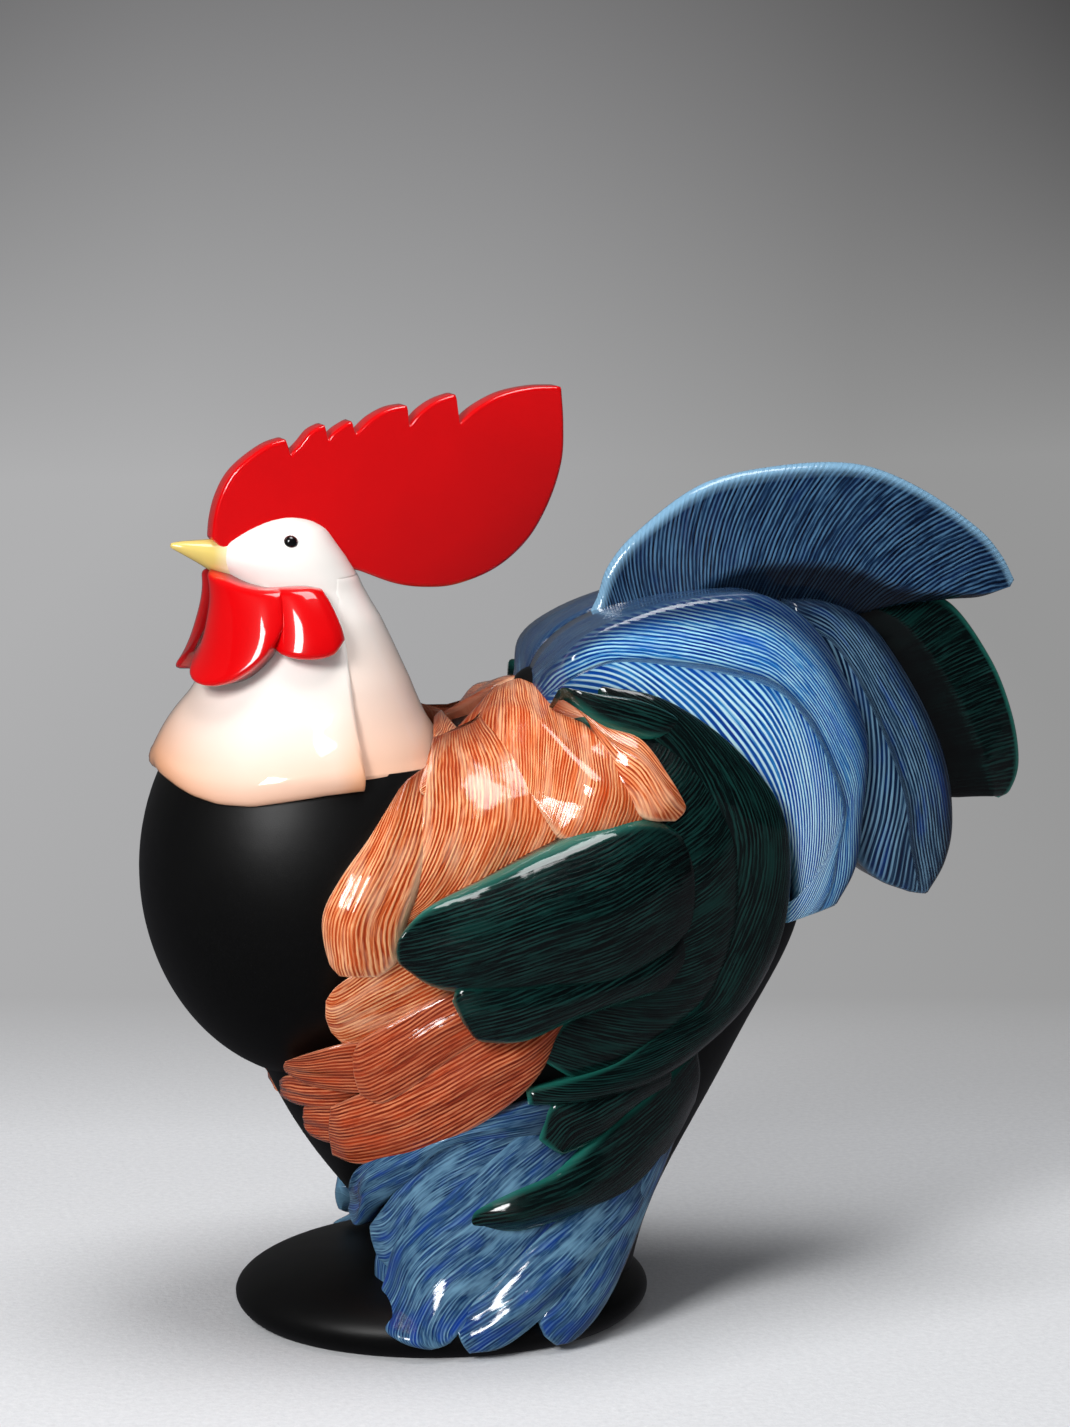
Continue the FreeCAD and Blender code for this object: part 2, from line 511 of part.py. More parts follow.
# Carved feathers of the left flank, from the outermost to the innermost.
# Each row is a station from root to tip: x and z of the upper edge, x and z of the
# lower edge, the relief of both edges and the crown between them, as shares of
# flank_half_length, flank_height and carving_relief. x runs from the body's middle.
flank_feather_shares = {
    "wing_long_feather": [
        (0.48, 0.84, 0.48, 0.68, 0.5, 0.6, 0.2),
        (0.32, 0.87, 0.34, 0.64, 0.9, 0.9, 0.5),
        (0.14, 0.86, 0.16, 0.61, 1.3, 1.2, 0.7),
        (-0.07, 0.83, -0.06, 0.61, 1.6, 1.4, 0.8),
        (-0.27, 0.79, -0.26, 0.61, 1.8, 1.5, 0.8),
        (-0.44, 0.76, -0.41, 0.62, 1.8, 1.5, 0.6),
        (-0.52, 0.73, -0.50, 0.65, 1.7, 1.5, 0.4),
        (-0.55, 0.70, -0.54, 0.67, 1.5, 1.4, 0.2),
    ],
    "wing_short_feather": [
        (0.46, 0.70, 0.43, 0.58, 0.6, 0.5, 0.2),
        (0.27, 0.66, 0.28, 0.58, 0.9, 0.8, 0.4),
        (0.02, 0.64, 0.06, 0.56, 1.2, 1.1, 0.5),
        (-0.18, 0.64, -0.12, 0.53, 1.4, 1.3, 0.5),
        (-0.33, 0.63, -0.25, 0.53, 1.5, 1.3, 0.4),
        (-0.36, 0.60, -0.29, 0.54, 1.4, 1.2, 0.2),
    ],
    "shoulder_edge_feather": [
        (0.10, 1.05, 0.19, 1.01, 0.4, 0.4, 0.1),
        (0.22, 1.01, 0.21, 0.94, 0.8, 0.8, 0.2),
        (0.33, 0.99, 0.25, 0.90, 1.0, 1.0, 0.3),
        (0.41, 0.93, 0.32, 0.87, 0.9, 1.0, 0.3),
        (0.47, 0.88, 0.42, 0.86, 0.6, 0.7, 0.1),
    ],
    "shoulder_broad_feather": [
        (-0.03, 1.04, -0.19, 0.99, 0.3, 0.3, 0.2),
        (0.08, 1.06, -0.08, 0.92, 0.5, 0.6, 0.5),
        (0.19, 1.00, 0.02, 0.85, 0.7, 0.8, 0.6),
        (0.26, 0.95, 0.11, 0.83, 0.8, 0.8, 0.5),
        (0.34, 0.90, 0.24, 0.83, 0.6, 0.6, 0.2),
    ],
    "saddle_feather": [
        (0.10, 1.07, 0.13, 1.05, 0.5, 0.5, 0.2),
        (0.22, 1.06, 0.19, 1.02, 0.8, 0.7, 0.3),
        (0.34, 1.05, 0.27, 1.00, 0.9, 0.8, 0.3),
        (0.44, 1.03, 0.37, 0.99, 0.9, 0.8, 0.2),
        (0.49, 1.01, 0.45, 0.99, 0.7, 0.7, 0.1),
    ],
    "shoulder_small_feather": [
        (-0.22, 1.00, -0.30, 0.99, 0.4, 0.3, 0.2),
        (-0.21, 0.98, -0.38, 0.96, 0.7, 0.5, 0.4),
        (-0.20, 0.94, -0.42, 0.93, 0.9, 0.6, 0.5),
        (-0.22, 0.91, -0.40, 0.92, 0.9, 0.7, 0.4),
        (-0.27, 0.88, -0.33, 0.90, 0.8, 0.7, 0.2),
    ],
    "wing_front_feather": [
        (-0.38, 0.96, -0.48, 0.93, 0.4, 0.2, 0.2),
        (-0.39, 0.88, -0.60, 0.86, 0.6, 0.3, 0.4),
        (-0.46, 0.79, -0.70, 0.80, 0.9, 0.4, 0.6),
        (-0.52, 0.72, -0.76, 0.74, 1.1, 0.5, 0.7),
        (-0.54, 0.67, -0.74, 0.67, 1.1, 0.5, 0.6),
        (-0.58, 0.64, -0.70, 0.64, 0.9, 0.5, 0.3),
    ],
    "wing_middle_feather": [
        (-0.07, 1.01, -0.30, 0.99, 0.4, 0.2, 0.2),
        (-0.02, 0.92, -0.34, 0.91, 0.6, 0.4, 0.4),
        (0.02, 0.84, -0.41, 0.83, 0.7, 0.5, 0.4),
        (-0.10, 0.78, -0.50, 0.76, 0.7, 0.6, 0.4),
        (-0.34, 0.72, -0.56, 0.72, 0.7, 0.7, 0.3),
        (-0.45, 0.66, -0.57, 0.67, 0.6, 0.6, 0.2),
    ],
    "breast_side_feather": [
        (-0.32, 0.71, -0.28, 0.62, 0.4, 0.4, 0.2),
        (-0.47, 0.69, -0.37, 0.59, 0.7, 0.6, 0.3),
        (-0.62, 0.66, -0.52, 0.54, 0.8, 0.7, 0.4),
        (-0.71, 0.63, -0.63, 0.51, 0.8, 0.7, 0.3),
        (-0.74, 0.60, -0.71, 0.54, 0.6, 0.5, 0.2),
    ],
    "belly_upper_feather": [
        (-0.12, 0.66, -0.12, 0.55, 0.5, 0.5, 0.2),
        (-0.32, 0.62, -0.28, 0.52, 0.8, 0.8, 0.3),
        (-0.50, 0.57, -0.43, 0.46, 1.0, 0.9, 0.3),
        (-0.62, 0.53, -0.54, 0.42, 1.1, 1.0, 0.3),
        (-0.64, 0.50, -0.61, 0.43, 1.0, 0.9, 0.2),
    ],
    "breast_tip_upper": [
        (-0.55, 0.53, -0.53, 0.43, 0.5, 0.4, 0.2),
        (-0.68, 0.52, -0.64, 0.43, 0.8, 0.7, 0.3),
        (-0.78, 0.50, -0.74, 0.43, 0.8, 0.7, 0.3),
        (-0.83, 0.48, -0.81, 0.45, 0.7, 0.6, 0.2),
    ],
    "belly_lower_feather": [
        (0.07, 0.58, 0.04, 0.55, 0.2, 0.2, 0.2),
        (-0.12, 0.57, -0.05, 0.46, 0.4, 0.4, 0.4),
        (-0.33, 0.53, -0.19, 0.40, 0.6, 0.6, 0.5),
        (-0.52, 0.46, -0.39, 0.34, 0.7, 0.7, 0.5),
        (-0.64, 0.42, -0.57, 0.30, 0.8, 0.7, 0.4),
        (-0.68, 0.40, -0.65, 0.30, 0.7, 0.6, 0.2),
    ],
    "breast_tip_middle": [
        (-0.60, 0.47, -0.58, 0.40, 0.3, 0.3, 0.2),
        (-0.71, 0.45, -0.69, 0.39, 0.5, 0.4, 0.2),
        (-0.79, 0.44, -0.75, 0.38, 0.5, 0.4, 0.2),
        (-0.80, 0.42, -0.78, 0.38, 0.4, 0.3, 0.1),
    ],
    "breast_tip_lower": [
        (-0.61, 0.42, -0.59, 0.32, 0.1, 0.1, 0.1),
        (-0.68, 0.41, -0.65, 0.32, 0.3, 0.2, 0.2),
        (-0.73, 0.39, -0.69, 0.32, 0.3, 0.2, 0.2),
        (-0.73, 0.37, -0.71, 0.33, 0.2, 0.1, 0.1),
    ],
    "ring_inner_feather": [
        (0.37, 1.02, 0.30, 0.98, 0.4, 0.4, 0.2),
        (0.52, 0.94, 0.30, 0.90, 0.5, 0.5, 0.3),
        (0.62, 0.86, 0.32, 0.82, 0.5, 0.5, 0.4),
        (0.66, 0.78, 0.32, 0.74, 0.5, 0.5, 0.4),
        (0.65, 0.68, 0.28, 0.66, 0.5, 0.5, 0.4),
        (0.57, 0.58, 0.21, 0.60, 0.5, 0.5, 0.4),
        (0.42, 0.52, 0.11, 0.58, 0.5, 0.5, 0.3),
        (0.24, 0.47, 0.01, 0.54, 0.4, 0.4, 0.3),
        (0.07, 0.45, -0.05, 0.49, 0.3, 0.3, 0.2),
    ],
    "ring_outer_feather": [
        (0.22, 1.07, 0.24, 1.03, 0.3, 0.2, 0.3),
        (0.42, 1.05, 0.38, 0.98, 0.5, 0.4, 0.6),
        (0.61, 0.99, 0.51, 0.90, 0.6, 0.4, 0.7),
        (0.76, 0.91, 0.58, 0.83, 0.7, 0.4, 0.8),
        (0.83, 0.84, 0.62, 0.77, 0.7, 0.4, 0.9),
        (0.85, 0.74, 0.62, 0.70, 0.6, 0.4, 0.9),
        (0.82, 0.64, 0.58, 0.62, 0.5, 0.4, 0.8),
        (0.75, 0.54, 0.49, 0.55, 0.5, 0.5, 0.7),
        (0.58, 0.48, 0.33, 0.51, 0.5, 0.5, 0.6),
        (0.36, 0.43, 0.19, 0.47, 0.5, 0.5, 0.5),
        (0.12, 0.41, 0.02, 0.45, 0.5, 0.5, 0.4),
        (-0.08, 0.41, -0.09, 0.44, 0.4, 0.4, 0.2),
    ],
    "thigh_upper_feather": [
        (0.42, 0.46, 0.44, 0.41, 0.2, 0.2, 0.2),
        (0.25, 0.45, 0.31, 0.39, 0.4, 0.4, 0.3),
        (0.09, 0.43, 0.19, 0.35, 0.5, 0.5, 0.4),
        (-0.01, 0.41, 0.11, 0.33, 0.5, 0.5, 0.3),
        (-0.04, 0.35, 0.04, 0.32, 0.5, 0.5, 0.2),
    ],
    "thigh_lower_feather": [
        (0.55, 0.47, 0.58, 0.36, 0.1, 0.1, 0.2),
        (0.37, 0.41, 0.47, 0.29, 0.3, 0.3, 0.3),
        (0.20, 0.36, 0.30, 0.24, 0.5, 0.4, 0.4),
        (0.03, 0.30, 0.11, 0.22, 0.7, 0.5, 0.5),
        (-0.12, 0.27, -0.08, 0.20, 0.8, 0.6, 0.5),
        (-0.24, 0.24, -0.21, 0.20, 0.8, 0.6, 0.3),
        (-0.26, 0.22, -0.26, 0.20, 0.7, 0.6, 0.1),
    ],
    "leg_upper_feather": [
        (-0.10, 0.40, -0.14, 0.34, 0.2, 0.2, 0.2),
        (-0.26, 0.39, -0.32, 0.34, 0.4, 0.3, 0.3),
        (-0.42, 0.36, -0.43, 0.28, 0.5, 0.4, 0.4),
        (-0.54, 0.32, -0.52, 0.21, 0.6, 0.5, 0.4),
        (-0.59, 0.28, -0.56, 0.17, 0.6, 0.5, 0.3),
        (-0.58, 0.23, -0.57, 0.19, 0.5, 0.5, 0.2),
    ],
    "leg_side_feather": [
        (0.36, 0.33, 0.42, 0.22, 0.1, 0.1, 0.2),
        (0.15, 0.26, 0.31, 0.16, 0.3, 0.2, 0.3),
        (-0.04, 0.19, 0.12, 0.11, 0.5, 0.3, 0.5),
        (-0.19, 0.12, -0.03, 0.06, 0.6, 0.4, 0.5),
        (-0.29, 0.08, -0.17, 0.02, 0.6, 0.4, 0.4),
        (-0.31, 0.05, -0.28, 0.01, 0.5, 0.4, 0.2),
    ],
    "leg_long_feather": [
        (0.05, 0.42, 0.22, 0.25, 0.1, 0.0, 0.2),
        (-0.14, 0.36, 0.08, 0.20, 0.2, 0.2, 0.3),
        (-0.31, 0.27, -0.10, 0.13, 0.4, 0.3, 0.4),
        (-0.41, 0.18, -0.22, 0.08, 0.5, 0.4, 0.5),
        (-0.47, 0.10, -0.31, 0.05, 0.5, 0.4, 0.5),
        (-0.47, 0.04, -0.35, 0.025, 0.4, 0.4, 0.4),
        (-0.45, 0.015, -0.39, 0.01, 0.3, 0.3, 0.2),
    ],
    "leg_middle_feather": [
        (-0.08, 0.39, -0.04, 0.30, 0.1, 0.1, 0.2),
        (-0.24, 0.38, -0.24, 0.24, 0.2, 0.2, 0.3),
        (-0.41, 0.32, -0.38, 0.18, 0.3, 0.3, 0.3),
        (-0.49, 0.23, -0.46, 0.12, 0.4, 0.4, 0.3),
        (-0.53, 0.18, -0.51, 0.13, 0.4, 0.4, 0.2),
    ],
    "leg_rear_feather": [
        (0.46, 0.38, 0.52, 0.32, 0.1, 0.0, 0.2),
        (0.28, 0.24, 0.40, 0.20, 0.2, 0.0, 0.3),
        (0.10, 0.15, 0.27, 0.10, 0.4, 0.1, 0.4),
        (-0.01, 0.09, 0.18, 0.05, 0.4, 0.2, 0.4),
        (-0.05, 0.06, 0.08, 0.015, 0.4, 0.2, 0.3),
        (-0.03, 0.03, 0.01, 0.01, 0.3, 0.2, 0.1),
    ],
    "leg_front_feather": [
        (-0.44, 0.21, -0.38, 0.17, 0.0, 0.0, 0.2),
        (-0.51, 0.14, -0.43, 0.11, 0.1, 0.1, 0.2),
        (-0.52, 0.08, -0.43, 0.06, 0.1, 0.2, 0.3),
        (-0.52, 0.03, -0.44, 0.02, 0.1, 0.2, 0.3),
        (-0.49, 0.015, -0.47, 0.01, 0.1, 0.1, 0.1),
    ],
}


def flank_point(share_x, share_z, relief):
    """Point of the left flank, raised over the body by a relief."""
    x = size("body_axis_behind") + share_x * size("flank_half_length")
    z = share_z * size("flank_height")
    return Vector(x, -flank_depth(x, z) - relief * size("carving_relief"), z)


def flank_section(top, peak, low):
    """Section of a flank feather, with its roots towards the middle of the body."""
    focus_height = min(peak.z, body_focus_share * size("flank_height"))
    return focused_section(top, peak, low, Vector(size("body_axis_behind"), 0, focus_height))


def feather(rows, place, close):
    """Loft of a feather's stations, from its root to its tip."""
    wires = []
    for top_x, top_z, low_x, low_z, top_relief, low_relief, crown in rows:
        top = place(top_x, top_z, top_relief)
        low = place(low_x, low_z, low_relief)
        peak_relief = (top_relief + low_relief) / 2 + crown
        peak = place((top_x + low_x) / 2, (top_z + low_z) / 2, peak_relief)
        wires.append(close(top, peak, low))
    return loft(wires)


core_forms = [body_form.Shape, breast_form.Shape, foot_form.Shape, head_form.Shape]
feather_forms = {name: feather(rows, flank_point, flank_section) for name, rows in flank_feather_shares.items()}
carved = {}
outer_forms = []
for name, form in feather_forms.items():
    carved[name] = cut_by(form, core_forms + outer_forms)
    outer_forms.append(form)

breast_tip_names = ["breast_tip_upper", "breast_tip_middle", "breast_tip_lower"]
carved["breast_tips"] = Part.makeCompound([carved.pop(name) for name in breast_tip_names])
for name, shape in carved.items():
    left = keep(add_shape(name + "_left", shape), name + "_left")
    mirrored(left, name + "_right")

# Tail feathers of the left side: the same rows, as shares of tail_reach from the pivot
tail_feather_shares = {
    "tail_inner_feather": [
        (-0.30, 0.42, -0.29, 0.38, 0.1, 0.1, 0.1),
        (-0.26, 0.51, -0.20, 0.42, 0.2, 0.1, 0.1),
        (-0.17, 0.58, -0.09, 0.41, 0.4, 0.2, 0.2),
        (-0.02, 0.63, 0.03, 0.32, 0.6, 0.2, 0.3),
        (0.13, 0.65, 0.16, 0.23, 0.7, 0.2, 0.4),
        (0.25, 0.64, 0.24, 0.15, 0.8, 0.2, 0.5),
        (0.36, 0.57, 0.28, 0.03, 0.7, 0.2, 0.5),
        (0.44, 0.44, 0.29, -0.05, 0.6, 0.2, 0.5),
        (0.49, 0.30, 0.29, -0.09, 0.5, 0.2, 0.4),
        (0.47, 0.16, 0.27, -0.10, 0.5, 0.2, 0.3),
        (0.45, 0.05, 0.26, -0.11, 0.4, 0.2, 0.2),
        (0.43, -0.01, 0.27, -0.11, 0.2, 0.2, 0.1),
    ],
    "tail_outer_feather": [
        (0.32, 0.62, 0.33, 0.53, 0.0, 0.0, 0.1),
        (0.43, 0.61, 0.40, 0.44, 0.0, 0.0, 0.2),
        (0.54, 0.55, 0.43, 0.29, 0.0, 0.0, 0.3),
        (0.65, 0.39, 0.45, 0.17, 0.1, 0.0, 0.3),
        (0.72, 0.23, 0.46, 0.08, 0.2, 0.0, 0.4),
        (0.74, 0.08, 0.47, 0.01, 0.2, 0.0, 0.4),
        (0.72, -0.02, 0.53, -0.05, 0.2, 0.0, 0.3),
        (0.67, -0.10, 0.62, -0.09, 0.1, 0.0, 0.1),
    ],
}


def tail_place(share_x, share_z):
    """Point of the figure's middle plane, by its shares of the tail's reach."""
    x = size("tail_pivot_behind") + share_x * size("tail_reach")
    return Vector(x, 0, size("tail_pivot_height") + share_z * size("tail_reach"))


def tail_point(share_x, share_z, relief):
    """Point of the tail's left face, raised by a relief."""
    point = tail_place(share_x, share_z)
    point.y = -flank_depth(point.x, point.z) - relief * size("carving_relief")
    return point


def tail_section(top, peak, low):
    """Section of a tail feather, with its roots on the figure's middle plane."""
    return section(top, peak, low, Vector(0, 1, 0), -top.y, -low.y)


left_tail_forms = []
for name, rows in tail_feather_shares.items():
    form = feather(rows, tail_point, tail_section)
    shape = cut_by(form, core_forms + outer_forms + left_tail_forms)
    left_tail_forms.append(form)
    mirrored(keep(add_shape(name + "_left", shape), name + "_left"), name + "_right")
tail_forms = left_tail_forms + [form.mirror(Vector(), Vector(0, 1, 0)) for form in left_tail_forms]

# Feathers on the middle plane: rim and inner edge of each station, as shares of
# tail_reach from the pivot, then where the ridge lies between them, and the width
# there as a share of the widest
top_feather_shares = [
    (-0.26, 0.44, -0.21, 0.39, 0.3, 0.3),
    (-0.18, 0.52, -0.12, 0.44, 0.34, 0.45),
    (-0.12, 0.62, -0.02, 0.48, 0.49, 0.6),
    (-0.09, 0.7, 0.08, 0.52, 0.6, 0.75),
    (-0.02, 0.78, 0.14, 0.55, 0.65, 0.85),
    (0.14, 0.89, 0.25, 0.56, 0.59, 0.92),
    (0.33, 0.93, 0.38, 0.55, 0.58, 1.0),
    (0.53, 0.93, 0.5, 0.57, 0.67, 1.0),
    (0.69, 0.87, 0.61, 0.59, 0.83, 0.92),
    (0.84, 0.77, 0.75, 0.6, 0.9, 0.7),
    (0.92, 0.67, 0.87, 0.61, 0.9, 0.3),
]
rear_feather_shares = [
    (0.65, 0.61, 0.52, 0.52, 0.4, 0.6),
    (0.77, 0.59, 0.56, 0.44, 0.47, 0.9),
    (0.88, 0.45, 0.6, 0.32, 0.43, 1.0),
    (0.94, 0.31, 0.66, 0.2, 0.42, 1.0),
    (0.96, 0.19, 0.72, 0.13, 0.41, 0.9),
    (0.94, 0.12, 0.79, 0.11, 0.4, 0.6),
    (0.91, 0.1, 0.87, 0.115, 0.52, 0.25),
]
rim_share = 0.22  # of the width at a station's ridge
inner_edge_share = 0.6  # of the same width


def middle_feather(rows, half_width):
    """Loft of six-sided stations, the same on both sides of the middle plane."""
    wires = []
    for rim_x, rim_z, edge_x, edge_z, ridge_share, width_share in rows:
        rim = tail_place(rim_x, rim_z)
        edge = tail_place(edge_x, edge_z)
        wide = width_share * half_width
        line = [(rim, wide * rim_share), (rim + (edge - rim) * ridge_share, wide)]
        line.append((edge, wide * inner_edge_share))
        left = [point - Vector(0, y, 0) for point, y in line]
        right = [point + Vector(0, y, 0) for point, y in reversed(line)]
        wires.append(Part.makePolygon(left + right + left[:1]))
    return loft(wires)


top_form = middle_feather(top_feather_shares, size("top_feather_half_width"))
rear_form = middle_feather(rear_feather_shares, size("rear_feather_half_width"))
right_outer_forms = [form.mirror(Vector(), Vector(0, 1, 0)) for form in outer_forms]
side_forms = core_forms + tail_forms + outer_forms + right_outer_forms
top_shape = cut_by(top_form, side_forms)
keep(add_shape("tail_top_feather", top_shape), "tail_top_feather")
rear_shape = cut_by(rear_form, side_forms + [top_form])
keep(add_shape("tail_rear_feather", rear_shape), "tail_rear_feather")

doc.recompute()
for thing in doc.Objects:
    if "Invalid" in thing.State or "Error" in thing.State:
        raise RuntimeError(thing.Label + " failed: " + str(thing.State))
for node in nodes:
    if node.Shape.isNull() or not node.Shape.isValid():
        raise RuntimeError(node.Label + " has no valid shape")

os.makedirs("parts", exist_ok=True)
for node in nodes:
    node.Shape.exportStep(os.path.join("parts", node.Label + ".step"))
    print(node.Label, len(node.Shape.Solids), "solids", round(node.Shape.Volume), "mm3")
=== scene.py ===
import bpy
import numpy as np
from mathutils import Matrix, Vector


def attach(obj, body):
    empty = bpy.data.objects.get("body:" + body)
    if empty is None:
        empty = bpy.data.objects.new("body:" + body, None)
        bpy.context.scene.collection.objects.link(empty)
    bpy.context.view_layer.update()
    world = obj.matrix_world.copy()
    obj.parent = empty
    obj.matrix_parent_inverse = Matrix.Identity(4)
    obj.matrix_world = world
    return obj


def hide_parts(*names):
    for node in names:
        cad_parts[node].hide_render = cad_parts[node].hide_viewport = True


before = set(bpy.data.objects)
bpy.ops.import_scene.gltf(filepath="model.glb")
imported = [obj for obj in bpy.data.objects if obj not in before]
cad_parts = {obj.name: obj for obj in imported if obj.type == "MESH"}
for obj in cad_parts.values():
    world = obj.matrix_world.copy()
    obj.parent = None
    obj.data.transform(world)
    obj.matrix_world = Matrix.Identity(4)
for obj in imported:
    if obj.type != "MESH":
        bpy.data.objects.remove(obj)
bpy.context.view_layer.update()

mm = 0.001
bothSides = (("Left", False), ("Right", True))  # the right one is the mirror image
print("frame loaded:", len(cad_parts), "nodes")


# Catmull-Rom curve through the rows: cubics whose slope at a row is half the way from the row
# before it to the row after it
def throughRows(rows, turns):
    rows = np.asarray(rows, float)
    flat = rows.reshape(len(rows), -1)
    last = len(flat) - 2
    i = np.minimum(turns.astype(int), last)
    f = (turns - i)[:, None]
    a, b = flat[i], flat[i + 1]
    before = np.where(i[:, None] > 0, flat[np.maximum(i - 1, 0)], 2 * a - b)
    after = np.where(i[:, None] < last, flat[np.minimum(i + 2, last + 1)], 2 * b - a)
    square = 2 * before - 5 * a + 4 * b - after
    cube = 3 * a - before - 3 * b + after
    curve = 0.5 * (2 * a + (b - before) * f + square * f ** 2 + cube * f ** 3)
    return curve.reshape((len(turns),) + rows.shape[1:])


# Steps from 0 to 1: even steps mixed with half a cosine wave, so that both ends lie closer
def closerEnds(count, share):
    t = np.linspace(0, 1, count)
    return (1 - share) * t + share * (0.5 - 0.5 * np.cos(np.pi * t))


def stationTurns(count, steps):  # places along a table of stations, closer at both ends
    return (count - 1) * closerEnds(steps, 0.45)


def lengths(points):  # running length along a line of points
    gaps = np.linalg.norm(np.diff(points, axis=0), axis=1)
    return np.concatenate([[0], np.cumsum(gaps)])


def unit(v):
    return v / np.maximum(np.linalg.norm(v, axis=-1, keepdims=True), 1e-9)


def turned(along, across, degrees):  # pattern coordinates turned by an angle
    c, s = np.cos(np.radians(degrees)), np.sin(np.radians(degrees))
    return np.stack([along * c + across * s, across * c - along * s], -1)


# Rings of points become a closed mesh: quads between neighbours, and a fan or one flat face at
# each end. All faces turn round if the volume they enclose is negative. maps: two pattern
# coordinates for each point, tints: named values for each point
def ringMesh(name, rings, material, nodes, maps=None, tints=None, mirror=False,
             flatEnds=False):
    rows, cols = rings.shape[:2]
    points = rings.reshape(-1, 3).copy()
    if mirror:
        points[:, 1] *= -1
    allPoints = np.concatenate([points, [points[:cols].mean(0), points[-cols:].mean(0)]])
    i, j = np.meshgrid(np.arange(rows - 1), np.arange(cols), indexing="ij")
    k = (j + 1) % cols
    quads = np.stack([i * cols + j, i * cols + k, (i + 1) * cols + k, (i + 1) * cols + j], -1)
    quads = quads.reshape(-1, 4)
    here = np.arange(cols)
    there, lastRow = (here + 1) % cols, (rows - 1) * cols
    first = np.stack([there, here, np.full(cols, rows * cols)], -1)
    last = np.stack([lastRow + here, lastRow + there, np.full(cols, rows * cols + 1)], -1)
    corners = allPoints[np.concatenate([quads[:, :3], quads[:, [0, 2, 3]], first, last])]
    volume = (corners[:, 0] * np.cross(corners[:, 1], corners[:, 2])).sum()
    if flatEnds:
        first, last = here[None, ::-1], lastRow + here[None]
        allPoints = points
    if volume < 0:
        quads, first, last = quads[:, ::-1], first[:, ::-1], last[:, ::-1]
    mesh = bpy.data.meshes.new(name)
    mesh.from_pydata(allPoints * mm, [], quads.tolist() + first.tolist() + last.tolist())
    mesh.shade_smooth()
    if maps is not None:
        flat = np.concatenate([maps.reshape(-1, 2), [maps[0].mean(0), maps[-1].mean(0)]])
        loops = np.empty(len(mesh.loops), int)
        mesh.loops.foreach_get("vertex_index", loops)
        layer = mesh.uv_layers.new(name="carving")
        layer.data.foreach_set("uv", (flat[loops] / 10).astype(np.float32).ravel())  # in cm
    for key, values in (tints or {}).items():
        flat = np.concatenate([values.ravel(), [values[0].mean(), values[-1].mean()]])
        layer = mesh.attributes.new(key, "FLOAT", "POINT")
        layer.data.foreach_set("value", flat[:len(allPoints)].astype(np.float32))
    piece = bpy.data.objects.new(name, mesh)
    bpy.context.collection.objects.link(piece)
    mesh.materials.append(material)
    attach(piece, "root")
    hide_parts(*nodes)


def ringPair(name, node, rings, material, maps, tints):  # one on the left, mirrored
    for side, mirror in bothSides:
        nodes = [node + "_" + side.lower()]
        ringMesh(name + side, rings, material, nodes, maps, tints, mirror)


# The hollow body under the carving, in millimetres

core = {
    "bodyRows": [  # height, shift, half length, half width
        (82, 19, 77, 57), (102, 20, 87, 60), (125, 22, 97, 61.2), (150, 26, 97, 60),
        (175, 35, 85, 54), (195, 52, 55, 42), (208, 55, 32, 25.2), (214, 54, 4, 3),
    ],
    "skirtRows": [
        (0, 14, 59, 61.2), (20, 18, 54, 57), (43, 21, 56, 52.2), (62, 19, 67, 52.8),
        (82, 19, 77, 57),
    ],
    "skirtTop": 82, "top": 214,  # heights
    "breast": (-41, 152, 59, 60, 70),  # x, z, half length, half width, half height
    "tail": (70, 150, 140, 44),  # x, z, reach, half width
    "tailTaper": [(0, 1), (0.29, 0.91), (0.57, 0.61), (0.79, 0.36), (1, 0.18)],
    "tailFrom": (30, 110),  # x and z
    "focus": (22, 170),  # x and z of the place that the feathers' walls point to
}


# Half width of a stack of ovals: the width times the root of 1 minus the place along, squared
def stackDepth(rows, x, z):
    rows = np.array(rows, float)
    shift, length, width = [np.interp(z, rows[:, 0], rows[:, c]) for c in (1, 2, 3)]
    return width * np.sqrt(np.maximum(1 - ((x - shift) / length) ** 2, 0))


# Half width of the whole body: the widest of the stack, the breast's egg and the tail's plate
def flankDepth(x, z):
    x, z = np.asarray(x, float), np.asarray(z, float)
    upper = z >= core["skirtTop"]
    body, skirt = [stackDepth(core[key], x, z) for key in ("bodyRows", "skirtRows")]
    depth = np.where(upper, body, skirt)
    depth = np.where(z >= core["top"], 0, depth)
    bx, bz, length, width, height = core["breast"]
    egg = np.maximum(1 - ((x - bx) / length) ** 2 - ((z - bz) / height) ** 2, 0)
    depth = np.where(upper, np.maximum(depth, width * np.sqrt(egg)), depth)
    tx, tz, reach, half = core["tail"]
    taper = np.array(core["tailTaper"])
    tail = half * np.interp(np.hypot(x - tx, z - tz) / reach, taper[:, 0], taper[:, 1])
    fromX, fromZ = core["tailFrom"]
    return np.where((z > fromZ) & (x > fromX), np.maximum(depth, tail), depth)


# Finishes

def srgb(r, g, b):
    c = np.array([r, g, b]) / 255
    return tuple(np.where(c <= 0.04045, c / 12.92, ((c + 0.055) / 1.055) ** 2.4)) + (1,)


